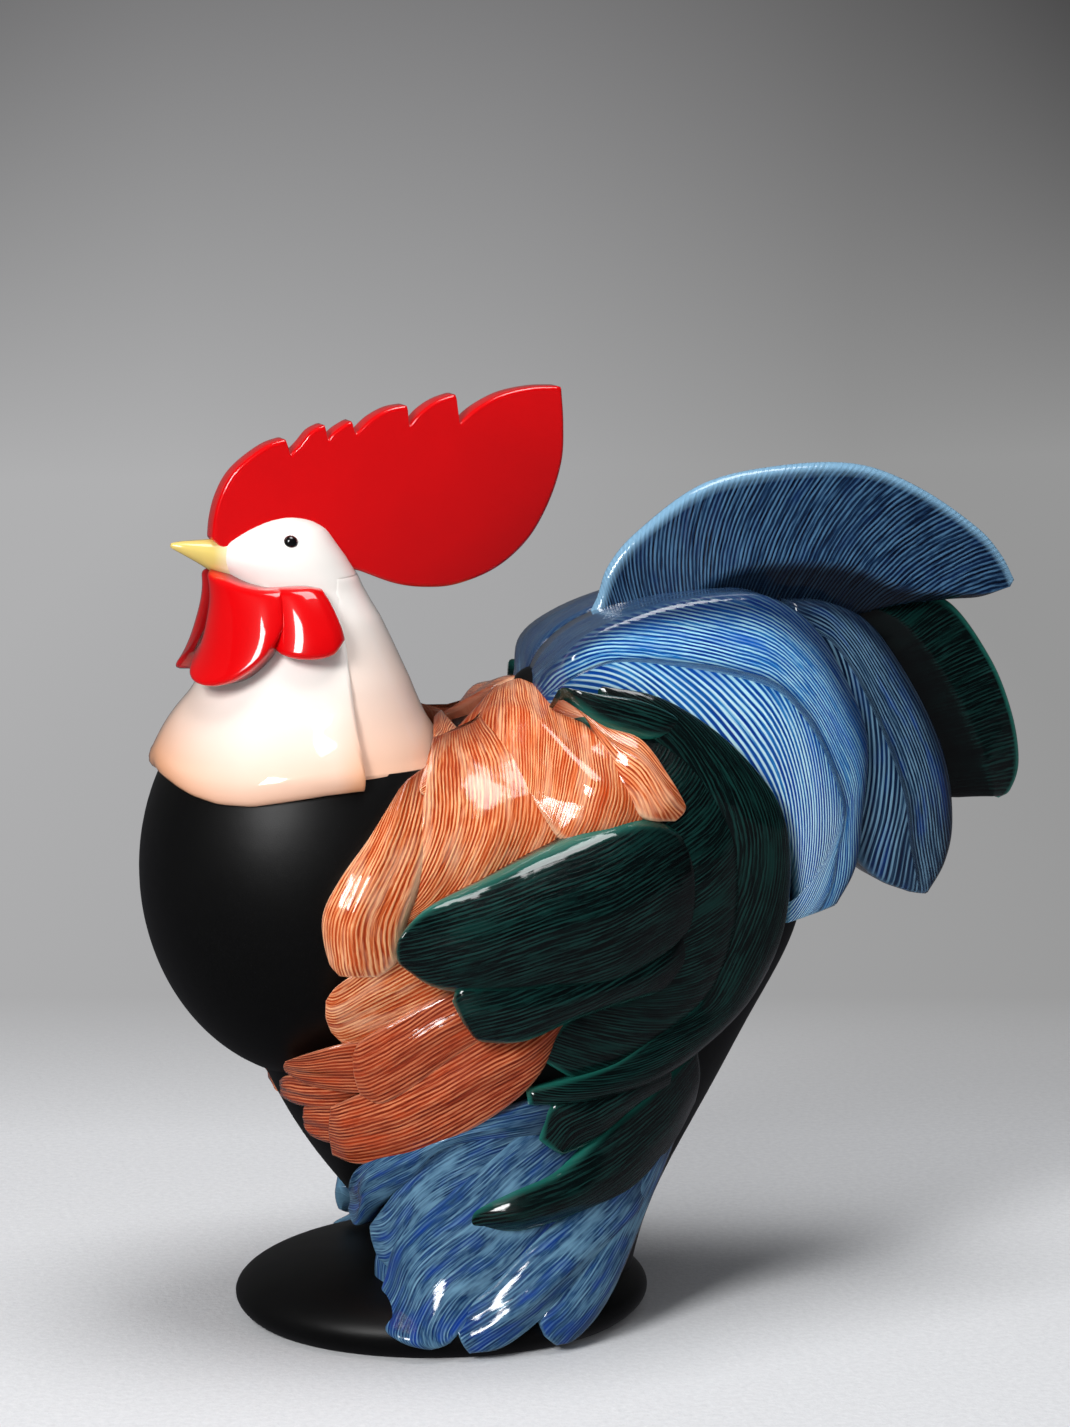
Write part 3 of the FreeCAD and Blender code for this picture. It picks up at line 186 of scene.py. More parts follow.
class Tree:  # shorthand for the nodes of one material
    def __init__(self, name, roughness, coat=0.0, coatRoughness=0.05, specular=0.5):
        self.material = bpy.data.materials.new(name)
        self.material.use_nodes = True
        self.nodes = self.material.node_tree.nodes
        self.links = self.material.node_tree.links
        self.shader = self.nodes["Principled BSDF"]
        self.shade("Roughness", roughness)
        self.shade("Coat Weight", coat)
        self.shade("Coat Roughness", coatRoughness)
        self.shade("Specular IOR Level", specular)

    def put(self, value, socket):
        if isinstance(value, bpy.types.NodeSocket):
            self.links.new(value, socket)
        else:
            socket.default_value = value

    def shade(self, socket, value):
        self.put(value, self.shader.inputs[socket])

    def node(self, kind, *values, **named):  # a node with its first and its named sockets filled
        node = self.nodes.new("ShaderNode" + kind)
        for value, socket in zip(values, node.inputs):
            self.put(value, socket)
        for socket, value in named.items():
            self.put(value, node.inputs[socket])
        return node

    def math(self, kind, a, b=0.0, clamp=False):
        node = self.node("Math", a, b)
        node.operation = kind
        node.use_clamp = clamp
        return node.outputs[0]

    def plus(self, a, b, clamp=False):
        return self.math("ADD", a, b, clamp)

    def minus(self, a, b, clamp=False):
        return self.math("SUBTRACT", a, b, clamp)

    def times(self, a, b, clamp=False):
        return self.math("MULTIPLY", a, b, clamp)

    def above(self, a, b, gain):  # how far a lies above b, times the gain, from 0 to 1
        return self.times(self.minus(a, b, True), gain, True)

    def noise(self, vector, scale, detail=2.0, rough=0.5):
        node = self.node("TexNoise", Vector=vector, Scale=scale, Detail=detail, Roughness=rough)
        return node.outputs["Fac"]

    def join(self, x, y, z=0.0):
        return self.node("CombineXYZ", x, y, z).outputs[0]

    def split(self, vector):
        return self.node("SeparateXYZ", vector).outputs

    def mix(self, factor, a, b):
        node = self.node("Mix", factor)
        node.data_type = "RGBA"
        self.put(a, node.inputs[6])  # the colour sockets
        self.put(b, node.inputs[7])
        return node.outputs[2]

    def ramp(self, factor, stops):
        node = self.node("ValToRGB", factor)
        elements = node.color_ramp.elements
        while len(elements) < len(stops):
            elements.new(0.5)
        for element, (place, color) in zip(elements, stops):
            element.position = place
            element.color = color
        return node.outputs[0]

    def tint(self, name):
        node = self.nodes.new("ShaderNodeAttribute")
        node.attribute_name = name
        return node.outputs["Fac"]

    def coords(self, which):
        return self.nodes.new("ShaderNodeTexCoord").outputs[which]

    def bump(self, height, distance, strength):
        return self.node("Bump", Height=height, Distance=distance, Strength=strength).outputs[0]

    def glow(self, color):
        return self.node("Emission", color).outputs[0]

    def blend(self, factor, a, b):  # two shaders mixed
        return self.node("MixShader", factor, a, b).outputs[0]

    def rays(self):  # whether a ray comes from the camera, also through glass, and from a gloss
        kinds = self.nodes.new("ShaderNodeLightPath").outputs
        seen = self.math("MAXIMUM", kinds["Is Camera Ray"], kinds["Is Transmission Ray"])
        return seen, kinds["Is Glossy Ray"]

    def surface(self, shader):
        self.links.new(shader, self.nodes["Material Output"].inputs["Surface"])


carving = {  # scales are per cm, those of cloud and coat waves per metre, coat height is in mm
    "wander": 0.14, "wanderScale": 0.5,  # how far the grooves wander sideways
    "streakScale": (0.55, 12.0), "streakGain": 1.6,  # fine streaks, along and across
    "patchScale": (0.45, 1.6), "patchSlice": 3.0, "patchFloor": 0.2,  # where the comb cut deep
    "stops": (0.26, 0.5, 0.76),  # places of the groove, middle and ridge colours
    "cloudScale": 38.0, "cloud": (0.45, 1.6),  # from, gain
    "accent": (0.52, 4.0), "washBelow": 0.5, "washGain": 9.0, "paleRidge": (0.15, 1.4),
    # shares of the pale ridges, of the rim colour (partly a painted highlight) and of the painted
    # shade
    "paleShare": 0.75, "rimShare": 0.8, "paintedShadeShare": 0.85,
    "coatCopy": 0.035, "coatWaves": 70.0, "coatHeight": 1.2,  # the coat almost levels the grooves
}


# Comb-carved glaze. Its relief is a sine of the pitch across the grooves, weaker in patches,
# plus noise drawn out along them. It is light where it is thin, on ridges, and on rims, where
# the rim colour is partly thin glaze and partly a painted highlight. Painted shade darkens it
# where the piece's tint says so: in recesses, at roots and on undersides. wash: broad pale
# strokes, pale: whiter ridges where the piece's tint asks so
def carvedGlaze(name, colors, pitch=1.3, streak=1.0, cut=0.85, wash=0.0, depth=0.24, pale=None):
    grooves, middle, ridges, rim, pool, accent = [srgb(*c) for c in colors]
    t = Tree(name, 0.35, coat=1.0, coatRoughness=0.035, specular=0.06)
    tool = carving
    along, across, _ = t.split(t.coords("UV"))
    wandering = t.join(*[t.times(v, tool["wanderScale"]) for v in (along, across)])
    bent = t.plus(across, t.times(t.minus(t.noise(wandering, 1.0), 0.5), tool["wander"]))
    wave = t.math("SINE", t.times(bent, 2 * np.pi / (pitch / 10)))
    onStreaks, onPatches = [[t.times(v, scale) for v, scale in zip((along, bent), tool[key])]
                            for key in ("streakScale", "patchScale")]
    streaks = t.noise(t.join(*onStreaks), 1.0, 3.0, 0.7)
    patch = t.noise(t.join(*onPatches, tool["patchSlice"]), 1.0, 3.0, 0.6)
    deep = t.times(t.minus(patch, tool["patchFloor"], True), cut)
    fine = t.times(t.minus(streaks, 0.5), tool["streakGain"] * streak)
    relief = t.plus(t.plus(t.times(wave, deep), fine), 0.5, True)
    color = t.ramp(relief, list(zip(tool["stops"], (grooves, middle, ridges))))
    cloud = t.noise(t.coords("Object"), tool["cloudScale"], 3.0, 0.6)
    color = t.mix(t.above(cloud, *tool["cloud"]), color, middle)
    color = t.mix(t.above(patch, *tool["accent"]), color, accent)
    if wash:
        color = t.mix(t.above(tool["washBelow"], patch, tool["washGain"] * wash), color, rim)
    if pale:
        ridged = t.times(t.above(wave, *tool["paleRidge"]), t.tint("pale"))
        color = t.mix(t.times(ridged, tool["paleShare"]), color, srgb(*pale))
    # Rim colour on the edges: partly thinner glaze, partly a painted highlight
    color = t.mix(t.times(t.tint("rim"), tool["rimShare"]), color, rim)
    # Painted shade, where the piece's tint says so
    color = t.mix(t.times(t.tint("pool"), tool["paintedShadeShare"]), color, pool)
    t.shade("Base Color", color)
    t.shade("Normal", t.bump(relief, depth * mm, 0.8))
    waves = t.noise(t.coords("Object"), tool["coatWaves"], 2.0)
    coat = t.plus(t.times(relief, tool["coatCopy"]), waves)
    t.shade("Coat Normal", t.bump(coat, tool["coatHeight"] * mm, 0.6))
    return t.material


# Smooth glaze: clouded by a deeper tone of its colour, and another colour where a tint says so
def smoothGlaze(name, color, otherColor=None, tint="blush", share=1.0, wave=0.06):
    t = Tree(name, 0.3, coat=1.0, coatRoughness=0.03, specular=0.1)
    color = srgb(*color)
    deeper = tuple(0.82 * v for v in color[:3]) + (1,)
    shade = t.mix(t.times(t.noise(t.coords("Object"), 60.0), 0.5), color, deeper)
    if otherColor:
        shade = t.mix(t.times(t.tint(tint), share), shade, srgb(*otherColor))
    t.shade("Base Color", shade)
    waves = t.noise(t.coords("Object"), 90.0, 1.0)
    t.shade("Coat Normal", t.bump(waves, wave * mm, 0.6))
    return t.material


def matteSlip(name):  # soft black engobe with fine grit
    t = Tree(name, 0.4, specular=0.24)
    grit = t.noise(t.coords("Object"), 2600.0, 2.0, 0.7)
    haze = t.noise(t.coords("Object"), 30.0)
    stops = [(0.45, srgb(6, 6, 6)), (0.68, srgb(10, 10, 11)), (0.8, srgb(48, 48, 50))]
    t.shade("Base Color", t.ramp(grit, stops))
    t.shade("Roughness", t.plus(0.36, t.times(haze, 0.16)))
    t.shade("Normal", t.bump(grit, 0.05 * mm, 0.7))
    return t.material


carved = {  # slot, colours of grooves, middle, ridges, rim (thin glaze, painted highlight), painted shade and accent, and what differs
    "orange": ("orange_glaze", [
        (150, 44, 12), (212, 102, 50), (248, 182, 130), (250, 206, 168), (112, 32, 10), (190, 66, 18),
    ], {"streak": 1.15, "cut": 0.75, "wash": 0.25}),
    "rust": ("orange_glaze", [
        (104, 26, 8), (160, 62, 32), (216, 130, 88), (224, 152, 118), (74, 20, 9), (190, 66, 22),
    ], {}),
    "green": ("green_glaze", [
        (2, 5, 6), (4, 17, 17), (17, 54, 50), (38, 124, 110), (2, 5, 6), (8, 46, 42),
    ], {"streak": 1.1, "cut": 0.5}),
    "slate": ("blue_glaze", [
        (8, 22, 50), (32, 60, 88), (108, 146, 172), (84, 122, 152), (6, 16, 38), (14, 60, 142),
    ], {"cut": 1.0}),
    "sky": ("blue_glaze", [
        (6, 44, 134), (34, 120, 188), (174, 224, 238), (134, 196, 224), (6, 22, 64), (12, 88, 184),
    ], {"streak": 1.2, "cut": 1.1, "pale": (206, 234, 242)}),
    "wash": ("blue_glaze", [
        (12, 34, 74), (40, 76, 112), (116, 156, 180), (104, 146, 172), (6, 18, 42), (6, 52, 150),
    ], {"pitch": 1.1, "streak": 0.8, "cut": 0.3, "wash": 0.7, "depth": 0.14}),
    "navy": ("dark_blue_glaze", [
        (5, 12, 30), (18, 42, 72), (72, 110, 142), (132, 176, 206), (3, 7, 18), (12, 38, 80),
    ], {}),
}
finishes = {key: (carvedGlaze(key + "Glaze", colors, **more), slotName)
            for key, (slotName, colors, more) in carved.items()}
# The red glaze turns deep red where painted shade falls: on the comb's lower back and the wattles'
# walls and roots
redGlaze = smoothGlaze("redGlaze", (214, 1, 6), (86, 1, 5), "pool", 0.85)
whiteGlaze = smoothGlaze("whiteGlaze", (246, 242, 236), (236, 170, 128), wave=0.1)
beakGlaze = smoothGlaze("beakGlaze", (226, 200, 112), (244, 238, 224))
beadGlaze = smoothGlaze("beadGlaze", (10, 10, 10))
blackSlip = matteSlip("blackSlip")
print("finishes made")


# Carved feathers

slab = {
    "steps": 64, "facePoints": 34, "wallPoints": 4,  # mesh: along, across the face, down a wall
    "crowding": 0.65,  # how much closer the points across lie at both edges
    "edgeRound": 1.4, "roundShare": 0.35,  # radius of the edge, at most this share of the width
    "bulge": 2.0,  # power of the crown
    "folds": None, "foldCalm": 0.6, "foldEnds": 6,  # facets: count, height, how far they drift
    "grooveTurn": 0, "shaft": None, "shaftScale": 0.52,
    # rim colour near the edges (partly a painted highlight), and painted shade down the walls and
    # near the root
    "rimWidth": 1.6, "rimPower": 1.5, "wallRim": 0.25, "wallShadeDepth": 5.0,
    "rootBelow": 7, "rootShadeShare": 0.22, "rootShadePower": 1.2,
}


# A feather is a slab carried along its stations. Across, its face rises from both edges to the
# crown by 1 minus a power of the distance from the middle, where a low power leaves a ridge.
# Folds add triangle waves that drift across on their way to the tip. Near the edge the face
# drops by a quarter circle, and from there the walls go straight in
def slabRings(stations, shape):
    shape = {**slab, **shape}
    turns = stationTurns(len(stations[0]), shape["steps"])
    top, crown, low = [throughRows(rows, turns) for rows in stations[:3]]
    inward = unit(throughRows(stations[3], turns))
    rootDepth = throughRows(stations[4][:, None], turns)
    width = np.linalg.norm(low - top, axis=1)[:, None]
    along = lengths((top + low) / 2)[:, None]
    place = along / along[-1]
    radius = min(shape["edgeRound"], shape["roundShare"] * width.max())
    s = closerEnds(shape["facePoints"], shape["crowding"])
    a = s[None, :, None]
    lift = crown - (top + low) / 2
    rise = 1 - np.abs(2 * a - 1) ** shape["bulge"]
    face = top[:, None] * (1 - a) + low[:, None] * a + lift[:, None] * rise
    if shape["folds"]:
        count, height, drift = shape["folds"]
        facet = 1 - np.abs(2 * ((count * s + drift * place) % 1) - 1)
        calm = np.maximum(np.sin(np.pi * s), 0) ** shape["foldCalm"]
        calm = calm * np.clip(shape["foldEnds"] * np.minimum(place, 1 - place), 0, 1)
        face -= inward[:, None] * (height * facet * calm)[..., None]
    edge = np.minimum(np.minimum(s, 1 - s) * width, np.minimum(along, along[-1] - along))
    dip = radius - np.sqrt(np.maximum(radius ** 2 - np.maximum(radius - edge, 0) ** 2, 0))
    face += inward[:, None] * dip[..., None]
    drop = np.maximum(rootDepth - radius, radius) * np.linspace(0, 1, shape["wallPoints"] + 1)[1:]
    down = inward[:, None] * drop[..., None]
    rings = np.concatenate([face, face[:, -1:] + down, (face[:, :1] + down)[:, ::-1]], 1)
    half = 0.5 * width
    across = np.concatenate([(2 * s - 1) * half, half + drop, (-half - drop)[:, ::-1]], 1)
    alongAll = along + 0 * across
    maps = turned(alongAll, across, shape["grooveTurn"])
    if shape["shaft"]:  # on the inner side of the shaft the grooves are wider and lean across
        fromShaft = across - (shape["shaft"] - 0.5) * width
        gaps = np.linalg.norm(np.diff(rings, axis=0), axis=2)
        own = np.concatenate([0 * gaps[:1], np.cumsum(gaps, axis=0)])  # each line's own length
        leaning = shape["shaftScale"] * turned(own, fromShaft, shape["lean"])
        maps = np.where((fromShaft > 0)[..., None], leaning, maps)
    # Tints: the rim colour near the edges, partly a painted highlight, and painted shade down the
    # walls into the recesses between feathers and near the root
    rim = np.clip(1 - edge / max(shape["rimWidth"], radius), 0, 1) ** shape["rimPower"]
    wallRim = np.full(drop.shape, shape["wallRim"])
    wallShade = np.clip(drop / shape["wallShadeDepth"], 0, 1)
    root = np.clip(1 - alongAll / (shape["rootShadeShare"] * along[-1]), 0, 1) ** shape["rootShadePower"]
    pool = np.maximum(np.concatenate([0 * edge, wallShade, wallShade[:, ::-1]], 1), root)
    return rings, maps, {"rim": np.concatenate([rim, wallRim, wallRim], 1), "pool": pool}


# Both edges lie on the body's flank, out by their relief. The crown is above the flank halfway
# between them, moved onto the line through their middle that points inward
def flankStations(rows):
    tx, tz, lx, lz, tr, lr, crown = np.array(rows, float).T
    mx, mz = (tx + lx) / 2, (tz + lz) / 2
    top, low, peak = [np.stack([x, -flankDepth(x, z) - out, z], -1) for x, z, out in (
        (tx, tz, tr), (lx, lz, lr), (mx, mz, (tr + lr) / 2 + crown))]
    middle = (top + low) / 2
    focus = np.stack([0 * mx + core["focus"][0], 0 * mx, np.minimum(mz, core["focus"][1])], -1)
    inward = unit(focus - middle)
    crown = middle - inward * ((middle - peak) * inward).sum(1)[:, None]
    return top, crown, low, inward, np.maximum(tr, lr) + slab["rootBelow"]


def tailStations(rows):  # the tail's slabs face sideways and reach in to the middle plane
    top, _, low, _, _ = flankStations(rows)
    tx, tz, lx, lz, tr, lr, crown = np.array(rows, float).T
    ridge = (top + low) / 2
    ridge[:, 1] = -flankDepth((tx + lx) / 2, (tz + lz) / 2) - (tr + lr) / 2 - crown
    inward = np.tile([0.0, 1.0, 0.0], (len(top), 1))
    return top, ridge, low, inward, np.minimum(-top[:, 1], -low[:, 1]) - 0.5


# Each row: x and z of the upper edge, x and z of the lower edge, relief of both edges, crown.
# farShift: three leg feathers of the far side sit further back, where the front view hides them
flankFeathers = {
    "wingLongFeather": {"finish": "green", "grooveTurn": 8, "edgeRound": 3.6, "rows": [
        (70, 168, 70, 136, 5, 6, 2), (54, 174, 56, 128, 9, 9, 5), (36, 172, 38, 122, 13, 12, 7),
        (15, 166, 16, 122, 16, 14, 8), (-5, 158, -4, 122, 18, 15, 8),
        (-22, 152, -19, 124, 18, 15, 6), (-30, 146, -28, 130, 17, 15, 4),
        (-33, 140, -32, 134, 15, 14, 2)]},
    "wingShortFeather": {"finish": "green", "grooveTurn": 10, "edgeRound": 2.4, "bulge": 1.6,
     "rows": [
        (68, 140, 65, 116, 6, 5, 2), (49, 132, 50, 116, 9, 8, 4), (24, 128, 28, 112, 12, 11, 5),
        (4, 128, 10, 106, 14, 13, 5), (-11, 126, -3, 106, 15, 13, 4),
        (-14, 120, -7, 108, 14, 12, 2)]},
    "shoulderEdgeFeather": {"finish": "orange", "grooveTurn": 5, "rows": [
        (32, 210, 41, 202, 4, 4, 1), (44, 202, 43, 188, 8, 8, 2), (55, 198, 47, 180, 10, 10, 3),
        (63, 186, 54, 174, 9, 10, 3), (69, 176, 64, 172, 6, 7, 1)]},
    "shoulderBroadFeather": {"finish": "orange", "grooveTurn": 78, "rows": [
        (18, 210, 2, 199, 1, 4, 3), (30, 212, 14, 184, 5, 6, 5), (41, 200, 24, 170, 7, 8, 6),
        (48, 190, 33, 166, 8, 8, 5), (56, 180, 46, 166, 6, 6, 2)]},
    "saddleFeather": {"finish": "green", "edgeRound": 2.0, "rows": [
        (32, 214, 35, 210, 5, 5, 2), (44, 212, 41, 204, 8, 7, 3), (56, 210, 49, 200, 9, 8, 3),
        (66, 206, 59, 198, 9, 8, 2), (71, 202, 67, 198, 7, 7, 1)]},
    "shoulderSmallFeather": {"finish": "orange", "grooveTurn": 60, "rows": [
        (0, 203, -9, 199, 1, 2.5, 2.5), (3, 196, -16, 192, 6, 4, 3), (4, 188, -20, 186, 7, 5, 3),
        (2, 181, -18, 183, 7, 5.5, 3), (-5, 175, -11, 179, 6, 6, 2)]},
    "wingFrontFeather": {"finish": "orange", "rows": [
        (-16, 192, -26, 186, 4, 2, 2), (-17, 176, -38, 172, 6, 3, 4),
        (-24, 158, -48, 160, 9, 4, 6), (-30, 144, -54, 148, 11, 5, 7),
        (-32, 134, -52, 134, 11, 5, 6), (-36, 128, -48, 128, 9, 5, 3)]},
    "wingMiddleFeather": {"finish": "orange", "rows": [
        (22, 210, -12, 200, 1, 6, 6), (28, 196, -17, 189, 4.5, 6.5, 7),
        (28, 176, -22, 172, 4, 5.5, 6), (12, 156, -30, 152, 6, 6, 4),
        (-12, 144, -35, 144, 7, 7, 3), (-23, 132, -36, 134, 6, 6, 2)]},
    "breastSideFeather": {"finish": "orange", "rows": [
        (-10, 142, -6, 124, 4, 4, 2), (-25, 138, -15, 118, 7, 6, 3), (-40, 132, -30, 108, 8, 7, 4),
        (-49, 126, -41, 102, 8, 7, 3), (-52, 120, -49, 108, 6, 5, 2)]},
    "bellyUpperFeather": {"finish": "rust", "rows": [
        (10, 132, 10, 110, 5, 5, 2), (-10, 124, -6, 104, 8, 8, 3), (-28, 114, -21, 92, 10, 9, 3),
        (-40, 106, -32, 84, 11, 10, 3), (-42, 100, -39, 86, 10, 9, 2)]},
    "breastTipUpper": {"finish": "rust", "rows": [
        (-33, 106, -31, 86, 5, 4, 2), (-46, 104, -42, 86, 8, 7, 3), (-56, 100, -52, 86, 8, 7, 3),
        (-61, 96, -59, 90, 7, 6, 2)]},
    "bellyLowerFeather": {"finish": "rust", "rows": [
        (29, 116, 26, 110, 2, 2, 2), (10, 114, 17, 92, 4, 4, 4), (-11, 106, 3, 80, 6, 6, 5),
        (-30, 92, -17, 68, 7, 7, 5), (-42, 84, -35, 60, 8, 7, 4), (-46, 80, -43, 60, 7, 6, 2)]},
    "breastTipMiddle": {"finish": "rust", "rows": [
        (-38, 94, -36, 80, 3, 3, 2), (-49, 90, -47, 78, 5, 4, 2), (-57, 88, -53, 76, 5, 4, 2),
        (-58, 84, -56, 76, 4, 3, 1)]},
    "breastTipLower": {"finish": "rust", "rows": [
        (-39, 84, -37, 64, 1, 1, 1), (-46, 82, -43, 64, 3, 2, 2), (-51, 78, -47, 64, 3, 2, 2),
        (-51, 74, -49, 66, 2, 1, 1)]},
    "ringInnerFeather": {"finish": "green", "grooveTurn": 75, "rows": [
        (59, 204, 52, 196, 4, 4, 2), (74, 188, 52, 180, 5, 5, 3), (84, 172, 54, 164, 5, 5, 4),
        (88, 156, 54, 148, 5, 5, 4), (87, 136, 50, 132, 5, 5, 4), (79, 116, 43, 120, 5, 5, 4),
        (64, 104, 33, 116, 5, 5, 3), (46, 94, 23, 108, 4, 4, 3), (29, 90, 17, 98, 3, 3, 2)]},
    "ringOuterFeather": {"finish": "green", "grooveTurn": 12, "rows": [
        (44, 214, 46, 206, 3, 2, 3), (64, 210, 60, 196, 5, 4, 6), (83, 198, 73, 180, 6, 4, 7),
        (98, 182, 80, 166, 7, 4, 8), (105, 168, 84, 154, 7, 4, 9), (107, 148, 84, 140, 6, 4, 9),
        (104, 128, 80, 124, 5, 4, 8), (97, 108, 71, 110, 5, 5, 7), (80, 96, 55, 102, 5, 5, 6),
        (58, 86, 41, 94, 5, 5, 5), (34, 82, 24, 90, 5, 5, 4), (14, 82, 13, 88, 4, 4, 2)]},
    "thighUpperFeather": {"finish": "green", "edgeRound": 2.0, "bulge": 1.5, "rows": [
        (64, 92, 66, 82, 2, 2, 2), (47, 90, 53, 78, 4, 4, 3), (31, 86, 41, 70, 5, 5, 4),
        (21, 82, 33, 66, 5, 5, 3), (18, 70, 26, 64, 5, 5, 2)]},
    "thighLowerFeather": {"finish": "green", "edgeRound": 2.2, "bulge": 1.5, "rows": [
        (77, 94, 80, 72, 1, 1, 2), (59, 82, 69, 58, 3, 3, 3), (42, 72, 52, 48, 5, 4, 4),
        (25, 60, 33, 44, 7, 5, 5), (10, 54, 14, 40, 8, 6, 5), (-2, 48, 1, 40, 8, 6, 3),
        (-4, 44, -4, 40, 7, 6, 1)]},
    "legUpperFeather": {"finish": "wash", "farShift": 8, "folds": (2.5, 1.0, 0.6), "rows": [
        (27, 88, 20, 70, 3, 3, 2), (-4, 78, -10, 68, 4, 3, 3), (-20, 72, -21, 56, 5, 4, 4),
        (-32, 64, -30, 42, 6, 5, 4), (-37, 56, -34, 34, 6, 5, 3), (-36, 46, -35, 38, 5, 5, 2)]},
    "legSideFeather": {"finish": "wash", "edgeRound": 2.0, "bulge": 1.5, "folds": (2, 1.0, 0.5),
     "rows": [
        (58, 66, 64, 44, 1, 1, 2), (37, 52, 53, 32, 3, 2, 3), (18, 38, 34, 22, 5, 3, 5),
        (3, 24, 19, 12, 6, 4, 5), (-7, 16, 4.4, 4, 6, 6.2, 4), (-10.8, 10, -6.9, 2, 11.8, 7.2, 2)]},
    "legLongFeather": {"finish": "wash", "farShift": 10, "folds": (2.6, 1.4, 0.8), "rows": [
        (27, 84, 44, 50, 1, 0, 2), (8, 72, 30, 40, 2, 2, 3), (-9, 54, 12, 26, 4, 3, 4),
        (-24, 36, 0, 17, 6, 4, 5), (-28, 22, -10, 10, 6, 11.4, 4),
        (-34.1, 12, -14.3, 6, 23, 12.7, 3), (-29.6, 7, -18.7, 4, 19.9, 12.9, 2)]},
    "legMiddleFeather": {"finish": "wash", "rows": [
        (14, 78, 18, 60, 1, 1, 2), (-2, 76, -2, 48, 2, 2, 3), (-19, 64, -16, 36, 3, 3, 3),
        (-27, 46, -24, 24, 4, 4, 3), (-31, 36, -29, 26, 4, 4, 2)]},
    "legRearFeather": {"finish": "wash", "folds": (1.5, 0.8, 0.4), "rows": [
        (68, 76, 74, 64, 1, 0, 2), (50, 48, 62, 40, 2, 0, 3), (32, 30, 49, 20, 4, 1, 4),
        (21, 18, 40, 10, 4, 2, 4), (17, 12, 30, 3, 4, 2, 3), (18.7, 6, 23, 2, 4.2, 2, 1)]},
    "legFrontFeather": {"finish": "wash", "farShift": 12, "rows": [
        (-22, 42, -16, 34, 0, 0, 2), (-29, 28, -21, 22, 1, 1, 2), (-30, 16, -21, 12, 1, 2, 3),
        (-30, 6, -22, 4, 1, 2, 3), (-27, 3, -25, 2, 1, 1, 1)]},
}
foldedShape = {"bulge": 1.3, "folds": (2.5, 1.1, 0.7)}  # all orange and rust feathers


def snake(name):
    return "".join("_" + c.lower() if c.isupper() else c for c in name)


for name, feather in flankFeathers.items():
    material, slotName = finishes[feather["finish"]]
    shape = {**(foldedShape if slotName == "orange_glaze" else {}), **feather}
    for side, mirror in bothSides:
        rows = np.array(feather["rows"], float)
        if mirror:
            rows[:, [0, 2]] += feather.get("farShift", 0)
        rings, maps, tints = slabRings(flankStations(rows), shape)
        node = "breast_tips" if name.startswith("breastTip") else snake(name)
        node += "_" + side.lower()
        ringMesh(name + side, rings, material, [node], maps, tints, mirror)
print("flank feathers carved")

# Rows as above. shaft: its place across, lean: the angle of the grooves on its inner side
tailFeathers = {
    "tailInnerFeather": {"finish": "sky", "edgeRound": 2.6, "shaft": 0.42, "lean": 42, "pale": 1,
     "rows": [
        (28, 208.8, 29.4, 203.2, 1, 1, 1), (33.6, 221.4, 42, 208.8, 2, 1, 1),
        (46.2, 231.2, 57.4, 207.4, 4, 2, 2), (67.2, 238.2, 74.2, 194.8, 6, 2, 3),
        (88.2, 241, 92.4, 182.2, 7, 2, 4), (105, 239.6, 103.6, 171, 8, 2, 5),
        (120.4, 229.8, 109.2, 154.2, 7, 2, 5), (131.6, 211.6, 110.6, 143, 6, 2, 5),
        (138.6, 192, 110.6, 137.4, 5, 2, 4), (136, 168, 107.8, 140, 5, 2, 3),
        (133.5, 150, 106.8, 136, 4, 2, 2), (126.5, 136.5, 107, 132.8, 2, 2, 1)]},
    "tailOuterFeather": {"finish": "slate", "edgeRound": 2.6, "shaft": 0.5, "lean": 30, "pale": 0,
     "rows": [
        (114.8, 236.8, 116.2, 224.2, 0, 0, 1), (130.2, 235.4, 126, 211.6, 0, 0, 2),
        (145.6, 227, 130.2, 190.6, 0, 0, 3), (161, 204.6, 133, 173.8, 1, 0, 3),
        (170.8, 182.2, 134.4, 161.2, 2, 0, 4), (173.6, 161.2, 135.8, 151.4, 2, 0, 4),
        (170.8, 147.2, 144.2, 143, 2, 0, 3), (163.8, 136, 156.8, 137.4, 1, 0, 1)]},
}
shadeAndPale = {  # painted shade and pale ridges of the tail; places are shares of the width
    "outerDark": 0.2, "outerFade": 0.13, "outerRim": 0.2, "leastRim": 0.3,
    "shaftDark": 0.7, "shaftShift": 0.02, "shaftWidth": 0.045, "paleFrom": 0.02, "paleFade": 0.12,
}
for name, feather in tailFeathers.items():
    rings, maps, tints = slabRings(tailStations(feather["rows"]), feather)
    s = closerEnds(slab["facePoints"], slab["crowding"])
    fromShaft = s - feather["shaft"]
    onFace = slice(0, len(s))
    # Painted shade lies along the outer edge and in the line of the shaft, and the rim's painted
    # highlight fades towards the outer edge
    dark = np.clip((shadeAndPale["outerDark"] - s) / shadeAndPale["outerFade"], 0, 1)
    line = 1 - np.abs(fromShaft + shadeAndPale["shaftShift"]) / shadeAndPale["shaftWidth"]
    dark += shadeAndPale["shaftDark"] * np.clip(line, 0, 1)
    tints["pool"][:, onFace] = np.maximum(tints["pool"][:, onFace], dark)
    tints["rim"][:, onFace] *= np.clip(s / shadeAndPale["outerRim"], shadeAndPale["leastRim"], 1)
    pale = np.clip((fromShaft - shadeAndPale["paleFrom"]) / shadeAndPale["paleFade"], 0, 1)
    tints["pale"] = 0 * tints["pool"]
    tints["pale"][:, onFace] = feather["pale"] * pale
    material, slotName = finishes[feather["finish"]]
    ringPair(name, snake(name), rings, material, maps, tints)

